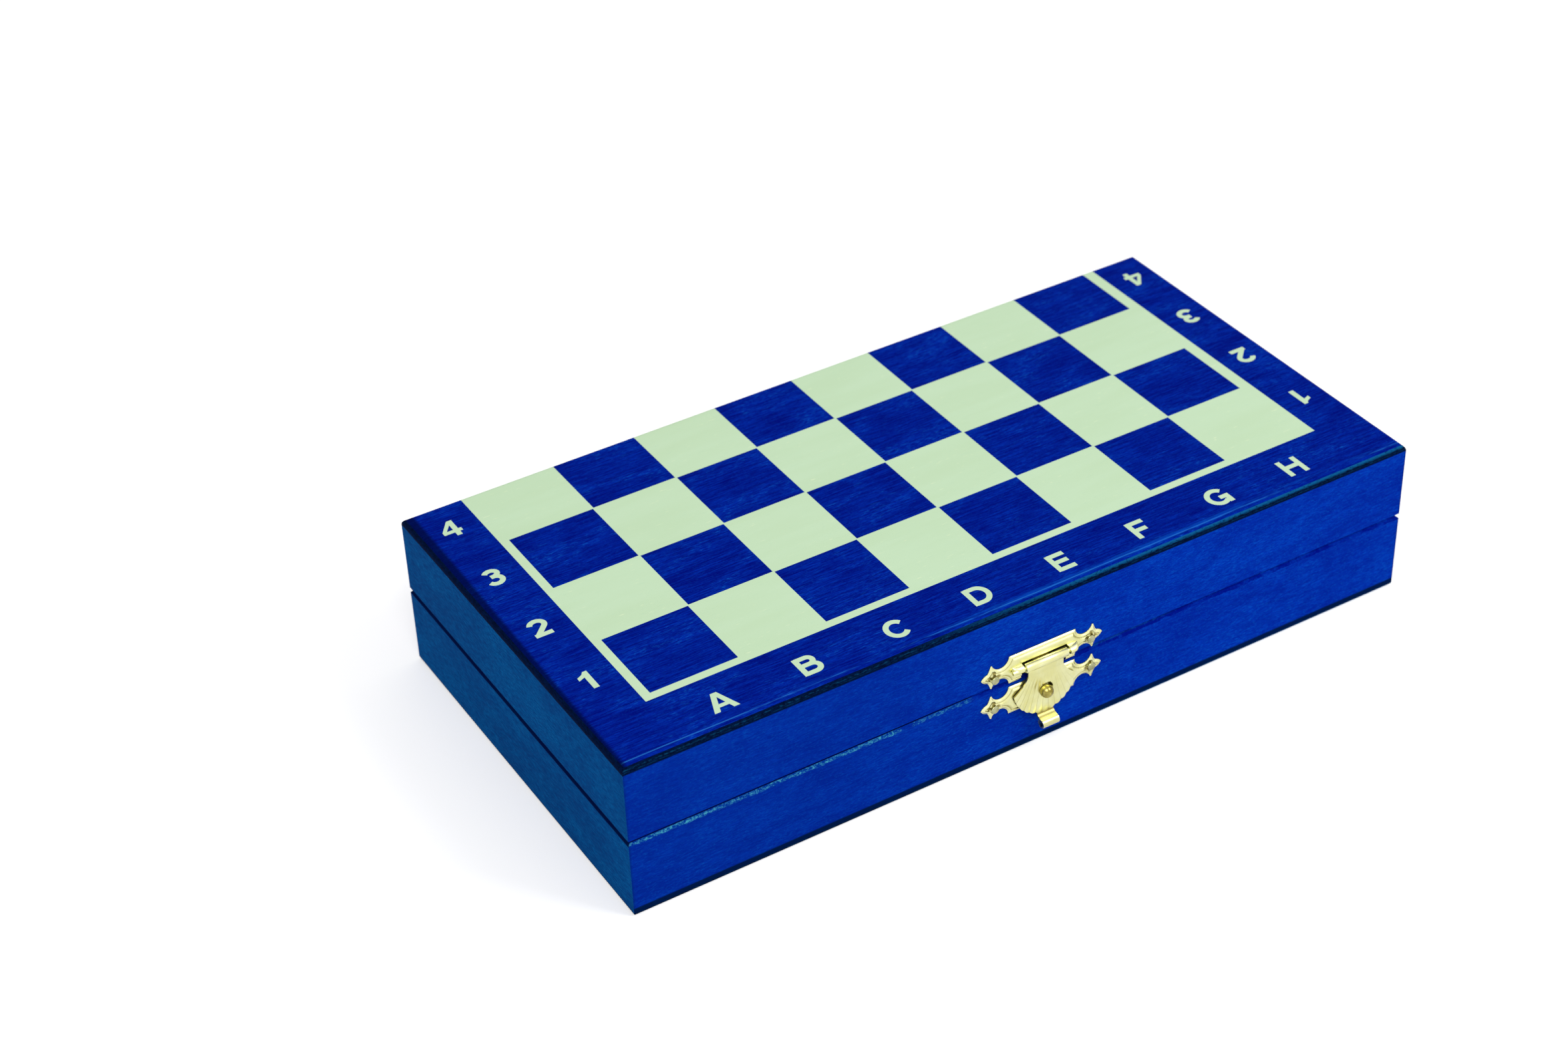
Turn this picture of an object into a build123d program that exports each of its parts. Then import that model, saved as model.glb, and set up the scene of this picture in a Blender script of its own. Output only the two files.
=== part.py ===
from build123d import *
import os
from math import cos, radians, sin

# Folding magnetic chess set. Two equal wooden half cases close on each other like a box, hinged at the
# back and held at the front by a stamped clasp with a shell-shaped hasp. Opened flat, their outer
# faces make the board. Each half holds sixteen chessmen lying in a foam insert over a steel sheet.
#
# Millimetres. X runs along the case, -Y is the clasp side, +Z is up. The origin is the middle of the
# closed case's underside. Clasp sketches use the front face's own plane, with z measured from the parting.

# Case
case_length = 280.0
case_width = 141.3
half_height = 27.4
wall = 8.0
panel = 4.0
edge_round = 2.2
fold_round = 1.0
rim_break = 0.9
steel_sheet = 0.5
lining_fit = 0.3

# Insert and the way the chessmen lie in it
insert_drop = 5.4
lying_drop = 4.6
bank_edge = 4.0
bank_reach = 0.46
bay_floor = 4.5
pocket_fit = 0.5
seat_gap = 0.1

# Chessmen
king_height = 50.0
king_base = 18.6
queen_height = 46.0
queen_base = 18.0
bishop_height = 40.0
knight_height = 36.0
rook_height = 31.0
officer_base = 16.4
pawn_height = 27.0
pawn_base = 13.6
files = 8

# Turned outlines, as shares of a chessman's height and of its base's radius
king_outline = [(0, 1), (0.08, 1), (0.15, 0.66), (0.56, 0.30), (0.60, 0.54), (0.64, 0.34), (0.80, 0.56), (0.86, 0.20)]
queen_outline = [(0, 1), (0.08, 1), (0.15, 0.66), (0.60, 0.28), (0.64, 0.52), (0.68, 0.32), (0.88, 0.62), (0.93, 0.30),
                 (1, 0.12)]
bishop_outline = [(0, 1), (0.10, 1), (0.18, 0.66), (0.58, 0.28), (0.62, 0.50), (0.67, 0.32), (0.80, 0.50), (0.93, 0.16),
                  (1, 0.14)]
knight_outline = [(0, 1), (0.10, 1), (0.19, 0.70), (0.28, 0.74)]
rook_outline = [(0, 1), (0.12, 1), (0.21, 0.70), (0.66, 0.50), (0.74, 0.72), (1, 0.72)]
pawn_outline = [(0, 1), (0.11, 1), (0.21, 0.62), (0.60, 0.28), (0.65, 0.52), (0.80, 0.60), (1, 0.26)]

# Carved tops. The horse's head is a side view in shares of the base's radius and of the height
horse_outline = [(-0.55, 0.27), (-0.62, 0.55), (-0.35, 0.85), (-0.02, 1.0), (0.10, 0.88), (0.78, 0.72),
                 (0.72, 0.60), (0.22, 0.60), (0.55, 0.27)]
horse_thickness = 7.8
cross_width = 5.6
crown_points = 6
crown_ring = 5.0
crown_cut = 7.2
crown_slot = 1.3
cross_bar = 1.7
mitre_cut = 0.9
mitre_depth = 6.4
mitre_slope = 35.0
mitre_side = 3.3
mitre_height = 34.4
battlement = 4.3
battlement_gap = 2.1
tower_hollow = 3.9

# Magnets in the feet, and the flats on turned and drilled forms
magnet_diameter = 6.0
magnet_thickness = 2.0
magnet_fit = 0.05
turned_sides = 10
magnet_sides = 6
nail_sides = 8
small_sides = 12

# Hinges
hinge_inset = 48.0
leaf_length = 30.0
leaf_width = 6.4
leaf_sheet = 1.0
knuckle_diameter = 3.8
hinge_pin = 1.6
running_fit = 0.05
knuckle_gap = 0.2
knuckle_relief = 0.3
leaf_fit = 0.1
hinge_nail_pitch = 18.0
hinge_nail = 1.6
hinge_nail_length = 7.0

# Clasp plates
clasp_shift = 0.6
plate_sheet = 0.8
plate_bevel = 0.3
plate_gap = 1.5
plate_height = 9.9
body_half = 12.3
scoop_centre = 15.25
scoop_depth = 2.3
spike_x = 18.35
spike_drop = 0.45
notch_x = 19.7
notch_height = 2.0
tip_x = 22.1
nail_x = 17.6
nail_head = 2.7
nail_head_rise = 0.5
nail_shank = 1.1
nail_length = 6.0

# Hasp, its pin and the knob that it snaps over
hasp_axis_height = 4.5
hasp_axis_out = 1.85
barrel_diameter = 3.1
barrel_length = 15.8
pin_diameter = 1.4
pin_length = 23.0
tunnel_length = 4.2
tunnel_wall = 0.6
window_fit = 0.3
hasp_sheet = 0.6
neck_width = 12.8
neck_end = 0.6
shell_centre = -4.4
shell_radius = 10.5
shell_span = 171.0
shell_cup = 0.55
flutes = 13
flute_rise = 0.35
scallop_depth = 0.45
knob_height = -6.2
knob_hole = 5.0
knob_ball = 4.3
knob_out = 3.3
knob_stem = 2.2
tab_width = 5.9
curl_diameter = 3.0
curl_out = 4.2
curl_height = -17.4

# Worked out from the sizes above
inner_length = case_length - 2 * wall
inner_width = case_width - 2 * wall
lining_base = panel + steel_sheet
insert_top = half_height - insert_drop
lying_height = insert_top - lying_drop
file_pitch = inner_length / files
officer_foot = -(inner_width / 2 - bank_edge)
pawn_foot = inner_width / 2 - bank_edge
hinge_line = case_width / 2
knuckle_radius = knuckle_diameter / 2
knuckle_pitch = leaf_length / 3
parting = Plane.XY.offset(half_height)
front_face = Plane(origin=(clasp_shift, -case_width / 2, half_height), x_dir=(1, 0, 0), z_dir=(0, -1, 0))
clasp_section = Plane(origin=(clasp_shift, -case_width / 2, half_height), x_dir=(0, -1, 0), z_dir=(-1, 0, 0))
plate_middle = (plate_gap + plate_height) / 2
hinge_centres = {"left": -(case_length / 2 - hinge_inset), "right": case_length / 2 - hinge_inset}

os.makedirs("parts", exist_ok=True)


def keep(piece, name):
    """Name a finished piece and write it to its file."""
    piece.part.label = name
    export_step(piece.part, f"parts/{name}.step")


def lid_twin(piece):
    """The lid's copy of a base piece: the halves mirror each other about the parting."""
    with BuildPart() as twin:
        mirror(piece.part, about=parting)
    return twin


# Board panels, rounded along their outer edges, less at the fold where the two halves meet

with BuildPart() as board_panel:
    with BuildSketch(Plane.YZ) as end_profile:
        with Locations((0, panel / 2)):
            Rectangle(case_width, panel)
        fillet(end_profile.vertices().group_by(Axis.Y)[0].sort_by(Axis.X)[0], edge_round)
        fillet(end_profile.vertices().group_by(Axis.Y)[0].sort_by(Axis.X)[-1], fold_round)
    extrude(amount=case_length / 2, both=True)
    with BuildSketch(Plane.XZ) as long_profile:
        with Locations((0, panel / 2)):
            Rectangle(case_length, panel)
        fillet(long_profile.vertices().group_by(Axis.Y)[0], edge_round)
    extrude(amount=case_width / 2, both=True, mode=Mode.INTERSECT)
keep(board_panel, "base_panel")
keep(lid_twin(board_panel), "lid_panel")


# Rails, mitred at the corners and broken along the outer edge of the rim


def mitred_rail(outer_start, outer_end, inner_end, inner_start):
    """One rail on its plan outline, from the panel up to the rim."""
    with BuildPart() as rail:
        with BuildSketch(Plane.XY.offset(panel)):
            with BuildLine():
                Polyline(outer_start, outer_end, inner_end, inner_start, close=True)
            make_face()
        extrude(amount=half_height - panel)
        rim_edges = rail.edges().group_by(Axis.Z)[-1]
        middle = Vector((outer_start[0] + outer_end[0]) / 2, (outer_start[1] + outer_end[1]) / 2, half_height)
        chamfer(rim_edges.sort_by_distance(middle)[0], rim_break)
    return rail


half_length = case_length / 2
half_width = case_width / 2
inner_x = inner_length / 2
inner_y = inner_width / 2
front_left = (-half_length, -half_width)
front_right = (half_length, -half_width)
back_left = (-half_length, half_width)
back_right = (half_length, half_width)
inner_front_left = (-inner_x, -inner_y)
inner_front_right = (inner_x, -inner_y)
inner_back_left = (-inner_x, inner_y)
inner_back_right = (inner_x, inner_y)

left_rail = mitred_rail(front_left, back_left, inner_back_left, inner_front_left)
right_rail = mitred_rail(front_right, back_right, inner_back_right, inner_front_right)
plain_front_rail = mitred_rail(front_left, front_right, inner_front_right, inner_front_left)
plain_back_rail = mitred_rail(back_left, back_right, inner_back_right, inner_back_left)

with BuildPart() as front_rail:
    add(plain_front_rail.part)
    with BuildSketch(front_face):
        with Locations((-nail_x, -plate_middle), (nail_x, -plate_middle)):
            RegularPolygon(nail_shank / 2 + running_fit, nail_sides)
    extrude(amount=-(nail_length - plate_sheet), mode=Mode.SUBTRACT)

with BuildPart() as back_rail:
    add(plain_back_rail.part)
    for centre in hinge_centres.values():
        with BuildSketch(Plane.YZ.offset(centre)):
            with Locations((hinge_line, half_height)):
                Rectangle(2 * (leaf_width + leaf_fit), 2 * leaf_sheet)
                Circle(knuckle_radius + knuckle_relief)
        extrude(amount=leaf_length / 2 + leaf_fit, both=True, mode=Mode.SUBTRACT)
        with BuildSketch(parting.offset(-leaf_sheet)):
            with Locations((centre, hinge_line - (leaf_width + knuckle_radius) / 2 - leaf_fit)):
                with GridLocations(hinge_nail_pitch, 0, 2, 1):
                    RegularPolygon(hinge_nail / 2 + running_fit, nail_sides)
        extrude(amount=-(hinge_nail_length - leaf_sheet), mode=Mode.SUBTRACT)

for side, rail in {"front": front_rail, "back": back_rail, "left": left_rail, "right": right_rail}.items():
    keep(rail, f"base_{side}_rail")
    keep(lid_twin(rail), f"lid_{side}_rail")


# Steel sheet that the chessmen's magnets pull on through the panel

with BuildPart() as sheet:
    with BuildSketch(Plane.XY.offset(panel)):
        Rectangle(inner_length - 2 * lining_fit, inner_width - 2 * lining_fit)
    extrude(amount=steel_sheet)
keep(sheet, "base_steel_sheet")
keep(lid_twin(sheet), "lid_steel_sheet")


# Chessmen, made upright on the origin


def turned(outline, height, base):
    """A turned form with flats, its corners on the turned circle: one side view, cut from every flat's side."""
    flat_reach = base / 2 * cos(radians(180 / turned_sides))
    right = [(radius_share * flat_reach, height_share * height) for height_share, radius_share in outline]
    left = [(-radius, level) for radius, level in reversed(right)]
    with BuildPart() as form:
        for flat in range(turned_sides // 2):
            turn = 360 * flat / turned_sides
            across = Vector(1, 0, 0).rotate(Axis.Z, turn)
            with BuildSketch(Plane(origin=(0, 0, 0), x_dir=across, z_dir=across.rotate(Axis.Z, -90))):
                with BuildLine():
                    Polyline(*right, *left, close=True)
                make_face()
            extrude(amount=base, both=True, mode=Mode.INTERSECT if flat else Mode.ADD)
        with BuildSketch():
            RegularPolygon(magnet_diameter / 2 + magnet_fit, magnet_sides)
        extrude(amount=magnet_thickness + magnet_fit, mode=Mode.SUBTRACT)
    return form


with BuildPart() as king:
    add(turned(king_outline, king_height, king_base).part)
    neck_top = king_outline[-1][0] * king_height
    with Locations((0, 0, (neck_top + king_height) / 2)):
        Box(cross_bar, cross_bar, king_height - neck_top)
        Box(cross_width, cross_bar, cross_bar)

with BuildPart() as queen:
    add(turned(queen_outline, queen_height, queen_base).part)
    crown_top = queen_outline[-3][0] * queen_height
    with Locations((0, 0, crown_top)):
        with PolarLocations(crown_ring, crown_points):
            Box(crown_cut, crown_slot, crown_slot, mode=Mode.SUBTRACT)

with BuildPart() as bishop:
    add(turned(bishop_outline, bishop_height, officer_base).part)
    with Locations(Location((mitre_side, 0, mitre_height), (0, mitre_slope, 0))):
        Box(mitre_cut, officer_base, mitre_depth, mode=Mode.SUBTRACT)

with BuildPart() as knight:
    add(turned(knight_outline, knight_height, officer_base).part)
    with BuildSketch(Plane.XZ):
        with BuildLine():
            Polyline(*[(x * officer_base / 2, z * knight_height) for x, z in horse_outline], close=True)
        make_face()
    extrude(amount=horse_thickness / 2, both=True)

with BuildPart() as rook:
    add(turned(rook_outline, rook_height, officer_base).part)
    with BuildSketch(Plane.XY.offset(rook_height)):
        RegularPolygon(tower_hollow, nail_sides)
    extrude(amount=-battlement, mode=Mode.SUBTRACT)
    with Locations((0, 0, rook_height - battlement / 2)):
        Box(officer_base, battlement_gap, battlement, mode=Mode.SUBTRACT)
        Box(battlement_gap, officer_base, battlement, mode=Mode.SUBTRACT)

pawn = turned(pawn_outline, pawn_height, pawn_base)

with BuildPart() as magnet:
    with BuildSketch():
        RegularPolygon(magnet_diameter / 2, magnet_sides)
    extrude(amount=magnet_thickness)


# Where each chessman lies: officers with their feet to the front, pawns with their feet to the back


def lying(column, foot):
    """The plane of a chessman's foot, its head towards the middle of the case."""
    x = (column - (files - 1) / 2) * file_pitch
    return Plane(origin=(x, foot, lying_height), x_dir=(1, 0, 0), z_dir=(0, -foot, 0))


officer_columns = {"rooks": (0, 7), "knights": (1, 6), "bishops": (2, 5), "queen": (3,), "king": (4,)}
officers = {"rooks": rook, "knights": knight, "bishops": bishop, "queen": queen, "king": king}
lying_planes = {name: [lying(column, officer_foot) for column in columns] for name, columns in officer_columns.items()}
lying_planes["pawns"] = [lying(column, pawn_foot) for column in range(files)]
chessmen = officers | {"pawns": pawn}
chess_sizes = {
    "rooks": (rook_height, officer_base),
    "knights": (knight_height, officer_base),
    "bishops": (bishop_height, officer_base),
    "queen": (queen_height, queen_base),
    "king": (king_height, king_base),
    "pawns": (pawn_height, pawn_base),
}
chess_outlines = {
    "rooks": rook_outline,
    "knights": knight_outline,
    "bishops": bishop_outline,
    "queen": queen_outline,
    "king": king_outline,
    "pawns": pawn_outline,
}

for name, chessman in chessmen.items():
    with BuildPart() as group:
        with Locations(*lying_planes[name]):
            add(chessman.part)
    keep(group, f"white_{name}")
    keep(lid_twin(group), f"blue_{name}")

with BuildPart() as magnets:
    for planes in lying_planes.values():
        with Locations(*planes):
            add(magnet.part)
keep(magnets, "white_magnets")
keep(lid_twin(magnets), "blue_magnets")


# Foam insert: two banks with a pocket for each chessman's lower half, and a finger bay between them

with BuildPart() as insert:
    with BuildSketch(Plane.XY.offset(lining_base)):
        Rectangle(inner_length - 2 * lining_fit, inner_width - 2 * lining_fit)
    extrude(amount=insert_top - lining_base)
    bay_front = officer_foot + bank_reach * king_height
    bay_back = pawn_foot - bank_reach * pawn_height
    with BuildSketch(Plane.XY.offset(insert_top)):
        with Locations((0, (bay_front + bay_back) / 2)):
            Rectangle(case_length, bay_back - bay_front)
    extrude(amount=-(insert_top - lining_base - bay_floor), mode=Mode.SUBTRACT)
    for name, planes in lying_planes.items():
        height, base = chess_sizes[name]
        outline = chess_outlines[name]
        foot_radius = base / 2
        body_radius = max(share for level, share in outline[2:]) * foot_radius
        foot_length = outline[2][0] * height + 2 * pocket_fit
        for plane in planes:
            inward = plane.z_dir.Y
            foot_y = plane.origin.Y - inward * pocket_fit
            bay_y = bay_front if inward > 0 else bay_back
            with BuildSketch(Plane.XY.offset(insert_top)):
                with Locations((plane.origin.X, foot_y + inward * foot_length / 2)):
                    Rectangle(2 * (foot_radius + pocket_fit), foot_length)
            extrude(amount=-(lying_drop + foot_radius + seat_gap), mode=Mode.SUBTRACT)
            with BuildSketch(Plane.XY.offset(insert_top)):
                with Locations((plane.origin.X, (foot_y + bay_y) / 2)):
                    Rectangle(2 * (body_radius + pocket_fit), abs(bay_y - foot_y))
            extrude(amount=-(lying_drop + body_radius + pocket_fit), mode=Mode.SUBTRACT)
keep(insert, "base_insert")
keep(lid_twin(insert), "lid_insert")


# Butt hinges let into the rims, the pin's axis on the outer back edge of the parting


def hinge_leaf(centre, own_knuckles, other_knuckles):
    """A leaf let into the base rim, with its own knuckles and room for the other leaf's."""
    with BuildPart() as leaf:
        with BuildSketch(Plane.XY.offset(half_height)):
            with Locations((centre, hinge_line - leaf_width / 2)):
                Rectangle(leaf_length, leaf_width)
        extrude(amount=-leaf_sheet)
        for knuckle in other_knuckles:
            with BuildSketch(Plane.XY.offset(half_height)):
                with Locations((centre + knuckle, hinge_line)):
                    Rectangle(knuckle_pitch + knuckle_gap, 2 * (knuckle_radius + knuckle_relief))
            extrude(amount=-leaf_sheet, mode=Mode.SUBTRACT)
        for knuckle in own_knuckles:
            with BuildSketch(Plane.YZ.offset(centre + knuckle)):
                with Locations((hinge_line, half_height)):
                    RegularPolygon(knuckle_radius, small_sides)
            extrude(amount=(knuckle_pitch - knuckle_gap) / 2, both=True)
        with BuildSketch(Plane.YZ.offset(centre)):
            with Locations((hinge_line, half_height)):
                RegularPolygon(hinge_pin / 2 + running_fit, small_sides, major_radius=False)
        extrude(amount=leaf_length, both=True, mode=Mode.SUBTRACT)
        with BuildSketch(Plane.XY.offset(half_height)):
            with Locations((centre, hinge_line - (leaf_width + knuckle_radius) / 2 - leaf_fit)):
                with GridLocations(hinge_nail_pitch, 0, 2, 1):
                    RegularPolygon(hinge_nail / 2 + running_fit, nail_sides)
        extrude(amount=-leaf_sheet, mode=Mode.SUBTRACT)
    return leaf


for side, centre in hinge_centres.items():
    keep(hinge_leaf(centre, (-knuckle_pitch, knuckle_pitch), (0,)), f"hinge_{side}_base_leaf")
    keep(lid_twin(hinge_leaf(centre, (0,), (-knuckle_pitch, knuckle_pitch))), f"hinge_{side}_lid_leaf")
    with BuildPart() as pin:
        with BuildSketch(Plane.YZ.offset(centre)):
            with Locations((hinge_line, half_height)):
                RegularPolygon(hinge_pin / 2, small_sides)
        extrude(amount=leaf_length / 2, both=True)
    keep(pin, f"hinge_{side}_pin")

with BuildPart() as hinge_nails:
    for centre in hinge_centres.values():
        with BuildSketch(Plane.XY.offset(half_height)):
            with Locations((centre, hinge_line - (leaf_width + knuckle_radius) / 2 - leaf_fit)):
                with GridLocations(hinge_nail_pitch, 0, 2, 1):
                    RegularPolygon(hinge_nail / 2, nail_sides)
        extrude(amount=-hinge_nail_length)
keep(hinge_nails, "hinge_base_nails")
keep(lid_twin(hinge_nails), "hinge_lid_nails")


# Clasp plates, stamped to one outline with a spiked and lobed ornament at each end


def stamped_plate(middle):
    """A plate on the front face, its outline centred at a height above the parting."""
    edge = plate_height / 2
    spike = (spike_x, edge - spike_drop)
    notch = (notch_x, notch_height)
    with BuildPart() as plate:
        with BuildSketch(front_face) as outline:
            with BuildLine():
                Line((0, edge), (body_half, edge))
                ThreePointArc((body_half, edge), (scoop_centre, edge - scoop_depth), spike)
                Line(spike, notch)
                ThreePointArc(notch, (notch_x + 0.75 * (tip_x - notch_x), 0.65 * notch_height), (tip_x, 0))
                mirror(about=Plane.YZ)
                mirror(about=Plane.XZ)
            make_face()
        extrude(amount=plate_sheet)
        chamfer(plate.faces().sort_by(Axis.Y)[0].outer_wire().edges(), plate_bevel)
        with BuildSketch(front_face):
            with Locations((-nail_x, 0), (nail_x, 0)):
                RegularPolygon(nail_shank / 2 + running_fit, nail_sides)
        extrude(amount=plate_sheet, mode=Mode.SUBTRACT)
    return plate.part.moved(Location((0, 0, middle)))


barrel_radius = barrel_diameter / 2
tunnel_radius = pin_diameter / 2 + running_fit + tunnel_wall
tunnel_inner_end = barrel_length / 2 + window_fit

with BuildPart() as clasp_upper_plate:
    add(stamped_plate(plate_middle))
    with BuildSketch(clasp_section):
        with Locations((hasp_axis_out / 2, hasp_axis_height)):
            Rectangle(hasp_axis_out, 2 * tunnel_radius)
        with Locations((hasp_axis_out, hasp_axis_height)):
            Circle(tunnel_radius)
    extrude(amount=tunnel_inner_end + tunnel_length, both=True)
    with BuildSketch(front_face):
        with Locations((0, (hasp_axis_height + barrel_radius + window_fit) / 2)):
            Rectangle(2 * tunnel_inner_end, hasp_axis_height + barrel_radius + window_fit)
    extrude(amount=2 * hasp_axis_out, mode=Mode.SUBTRACT)
    with BuildSketch(clasp_section):
        with Locations((hasp_axis_out / 2, hasp_axis_height)):
            Rectangle(hasp_axis_out, pin_diameter + 2 * running_fit)
        with Locations((hasp_axis_out, hasp_axis_height)):
            RegularPolygon(pin_diameter / 2 + running_fit, small_sides, major_radius=False)
    extrude(amount=pin_length / 2 + window_fit, both=True, mode=Mode.SUBTRACT)
keep(clasp_upper_plate, "clasp_upper_plate")

with BuildPart() as clasp_lower_plate:
    add(stamped_plate(-plate_middle))
    with BuildSketch(front_face):
        with Locations((0, knob_height)):
            Circle(knob_stem / 2 + running_fit)
    extrude(amount=plate_sheet, mode=Mode.SUBTRACT)
keep(clasp_lower_plate, "clasp_lower_plate")

with BuildPart() as clasp_pin:
    with BuildSketch(clasp_section):
        with Locations((hasp_axis_out, hasp_axis_height)):
            RegularPolygon(pin_diameter / 2, small_sides)
    extrude(amount=pin_length / 2, both=True)
keep(clasp_pin, "clasp_pin")

with BuildPart() as clasp_knob:
    ball_radius = knob_ball / 2
    ball_turns = (-50, 0, 50)
    ball = [(ball_radius * cos(radians(turn)), -knob_out - ball_radius * sin(radians(turn))) for turn in ball_turns]
    knob_axis = Axis(front_face.from_local_coords((0, knob_height, 0)), front_face.z_dir)
    with BuildSketch(Plane(origin=knob_axis.position, x_dir=(1, 0, 0), z_dir=(0, 0, 1))):
        with BuildLine():
            Polyline((0, 0), (knob_stem / 2, 0), (knob_stem / 2, ball[0][1] + hasp_sheet), *ball,
                     (0, -(knob_out + ball_radius)), close=True)
        make_face()
    revolve(axis=knob_axis)
keep(clasp_knob, "clasp_knob")

sheet_back = hasp_axis_out - hasp_sheet / 2
neck = []
rim = []
for turn in range(2 * flutes + 1):
    ridge = turn % 2
    share = turn / flutes - 1
    slant = radians(-90 + shell_span / 2 * share)
    reach = shell_radius - scallop_depth * (1 - ridge) * (1 - share ** 2)
    out = sheet_back + flute_rise * ridge - shell_cup * share ** 2
    rim.append(front_face.from_local_coords((reach * cos(slant), shell_centre + reach * sin(slant), out)))
    neck.append(front_face.from_local_coords((share * neck_width / 2, neck_end, sheet_back)))

with BuildPart() as clasp_hasp:
    for turn in range(2 * flutes):
        for corners in ((neck[turn], rim[turn], rim[turn + 1]), (neck[turn], rim[turn + 1], neck[turn + 1])):
            extrude(Face(Wire.make_polygon(corners)), amount=hasp_sheet, dir=front_face.z_dir)
    with BuildSketch(front_face.offset(sheet_back)):
        with Locations((0, (neck_end + hasp_axis_height) / 2)):
            Rectangle(neck_width, hasp_axis_height - neck_end)
    extrude(amount=hasp_sheet)
    with BuildSketch(front_face):
        with Locations((0, knob_height)):
            Circle(knob_hole / 2)
    extrude(amount=knob_out, mode=Mode.SUBTRACT)
    with BuildSketch(clasp_section):
        with Locations((hasp_axis_out, hasp_axis_height)):
            Circle(barrel_radius)
    extrude(amount=barrel_length / 2, both=True)
    with BuildSketch(clasp_section):
        with Locations((hasp_axis_out, hasp_axis_height)):
            RegularPolygon(pin_diameter / 2 + running_fit, small_sides, major_radius=False)
    extrude(amount=barrel_length, both=True, mode=Mode.SUBTRACT)
    with BuildSketch(clasp_section):
        with Locations((curl_out, curl_height)):
            Circle(curl_diameter / 2)
        with BuildLine():
            tab_top = shell_centre - shell_radius + scallop_depth + hasp_sheet
            Polyline(
                (sheet_back, tab_top),
                (sheet_back + hasp_sheet, tab_top),
                (sheet_back + hasp_sheet, tab_top - hasp_sheet),
                (curl_out, curl_height + curl_diameter / 2),
                (curl_out, curl_height + curl_diameter / 2 - hasp_sheet),
                (sheet_back, tab_top - 2 * hasp_sheet),
                close=True,
            )
        make_face()
        with Locations((curl_out, curl_height)):
            Circle(curl_diameter / 2 - hasp_sheet, mode=Mode.SUBTRACT)
    extrude(amount=tab_width / 2, both=True)
keep(clasp_hasp, "clasp_hasp")

for name, middle in {"clasp_upper_nails": plate_middle, "clasp_lower_nails": -plate_middle}.items():
    with BuildPart() as nails:
        with BuildSketch(front_face.offset(plate_sheet)):
            with Locations((-nail_x, middle), (nail_x, middle)):
                RegularPolygon(nail_head / 2, small_sides)
        extrude(amount=nail_head_rise)
        with BuildSketch(front_face.offset(plate_sheet)):
            with Locations((-nail_x, middle), (nail_x, middle)):
                RegularPolygon(nail_shank / 2, nail_sides)
        extrude(amount=-nail_length)
    keep(nails, name)
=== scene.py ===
import bpy
from math import cos, floor, pi, radians, sin
from mathutils import Matrix, Vector


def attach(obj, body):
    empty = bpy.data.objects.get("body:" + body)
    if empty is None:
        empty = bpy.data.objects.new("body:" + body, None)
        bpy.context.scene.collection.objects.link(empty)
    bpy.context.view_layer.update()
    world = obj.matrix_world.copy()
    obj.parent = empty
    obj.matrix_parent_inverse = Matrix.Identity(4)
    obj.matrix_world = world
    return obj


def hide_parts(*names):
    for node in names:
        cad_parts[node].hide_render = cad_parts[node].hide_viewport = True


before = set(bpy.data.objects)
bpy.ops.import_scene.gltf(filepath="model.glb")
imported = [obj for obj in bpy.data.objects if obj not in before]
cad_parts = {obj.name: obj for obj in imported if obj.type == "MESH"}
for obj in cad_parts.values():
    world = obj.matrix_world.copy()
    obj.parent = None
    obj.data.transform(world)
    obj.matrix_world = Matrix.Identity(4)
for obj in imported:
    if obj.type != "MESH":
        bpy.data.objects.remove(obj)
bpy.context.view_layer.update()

# Sizes of the case and its print, in metres
MM = 0.001
CASE_LENGTH = 280 * MM
CASE_WIDTH = 141.3 * MM
CASE_HEIGHT = 54.8 * MM
PARTING = CASE_HEIGHT / 2
FOLD_Y = CASE_WIDTH / 2
PANEL = 4 * MM
EDGE_ROUND = 2.2 * MM
UNDER_ROUND = 1 * MM
FOLD_ROUND = 1 * MM
INK = 0.02 * MM
PITCH = 29.37 * MM
FIRST_COLUMN = -CASE_LENGTH / 2 + 22.76 * MM
FIRST_ROW = -CASE_WIDTH / 2 + 24.95 * MM
SHORT = 0.4 * MM
LINE_LEFT = 2.9 * MM
LINE_RIGHT = 3.7 * MM
LINE_END = 2.8 * MM
LETTER_HEIGHT = 8.4 * MM
LETTER_OUT = 11.4 * MM
LEFT_NUMBER_OUT = 9.4 * MM
RIGHT_NUMBER_OUT = 9.1 * MM
LAST_COLUMN = FIRST_COLUMN + 8 * PITCH
LAST_ROW = FIRST_ROW + 8 * PITCH


# Picking and shaping by hand

def clear_selection():
    """Nothing selected, and out of edit mode."""
    if bpy.context.object and bpy.context.object.mode == "EDIT":
        bpy.ops.object.mode_set(mode="OBJECT")
    bpy.ops.object.select_all(action="DESELECT")


def take_up(piece):
    """Make a piece the only one selected, and the active one."""
    clear_selection()
    piece.select_set(True)
    bpy.context.view_layer.objects.active = piece


def put_down():
    """Leave edit mode and return the piece."""
    bpy.ops.object.mode_set(mode="OBJECT")
    return bpy.context.object


def named(name):
    """Name the piece just added, and return it."""
    piece = bpy.context.object
    piece.name = name
    return piece


def select_whole():
    """Select all of the mesh that is in edit mode."""
    bpy.ops.mesh.select_all(action="SELECT")


def grasp(piece):
    """Take a piece into edit mode with all of it selected."""
    take_up(piece)
    bpy.ops.object.mode_set(mode="EDIT")
    select_whole()


def new_cube(name, low, high):
    """A cube added between two corners and left in edit mode, all selected."""
    middle = [(a + b) / 2 for a, b in zip(low, high)]
    bpy.ops.mesh.primitive_cube_add(size=1)
    piece = named(name)
    piece.data.name = name
    bpy.ops.object.mode_set(mode="EDIT")
    bpy.ops.transform.resize(value=[b - a for a, b in zip(low, high)])
    bpy.ops.transform.translate(value=middle)
    return piece


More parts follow.
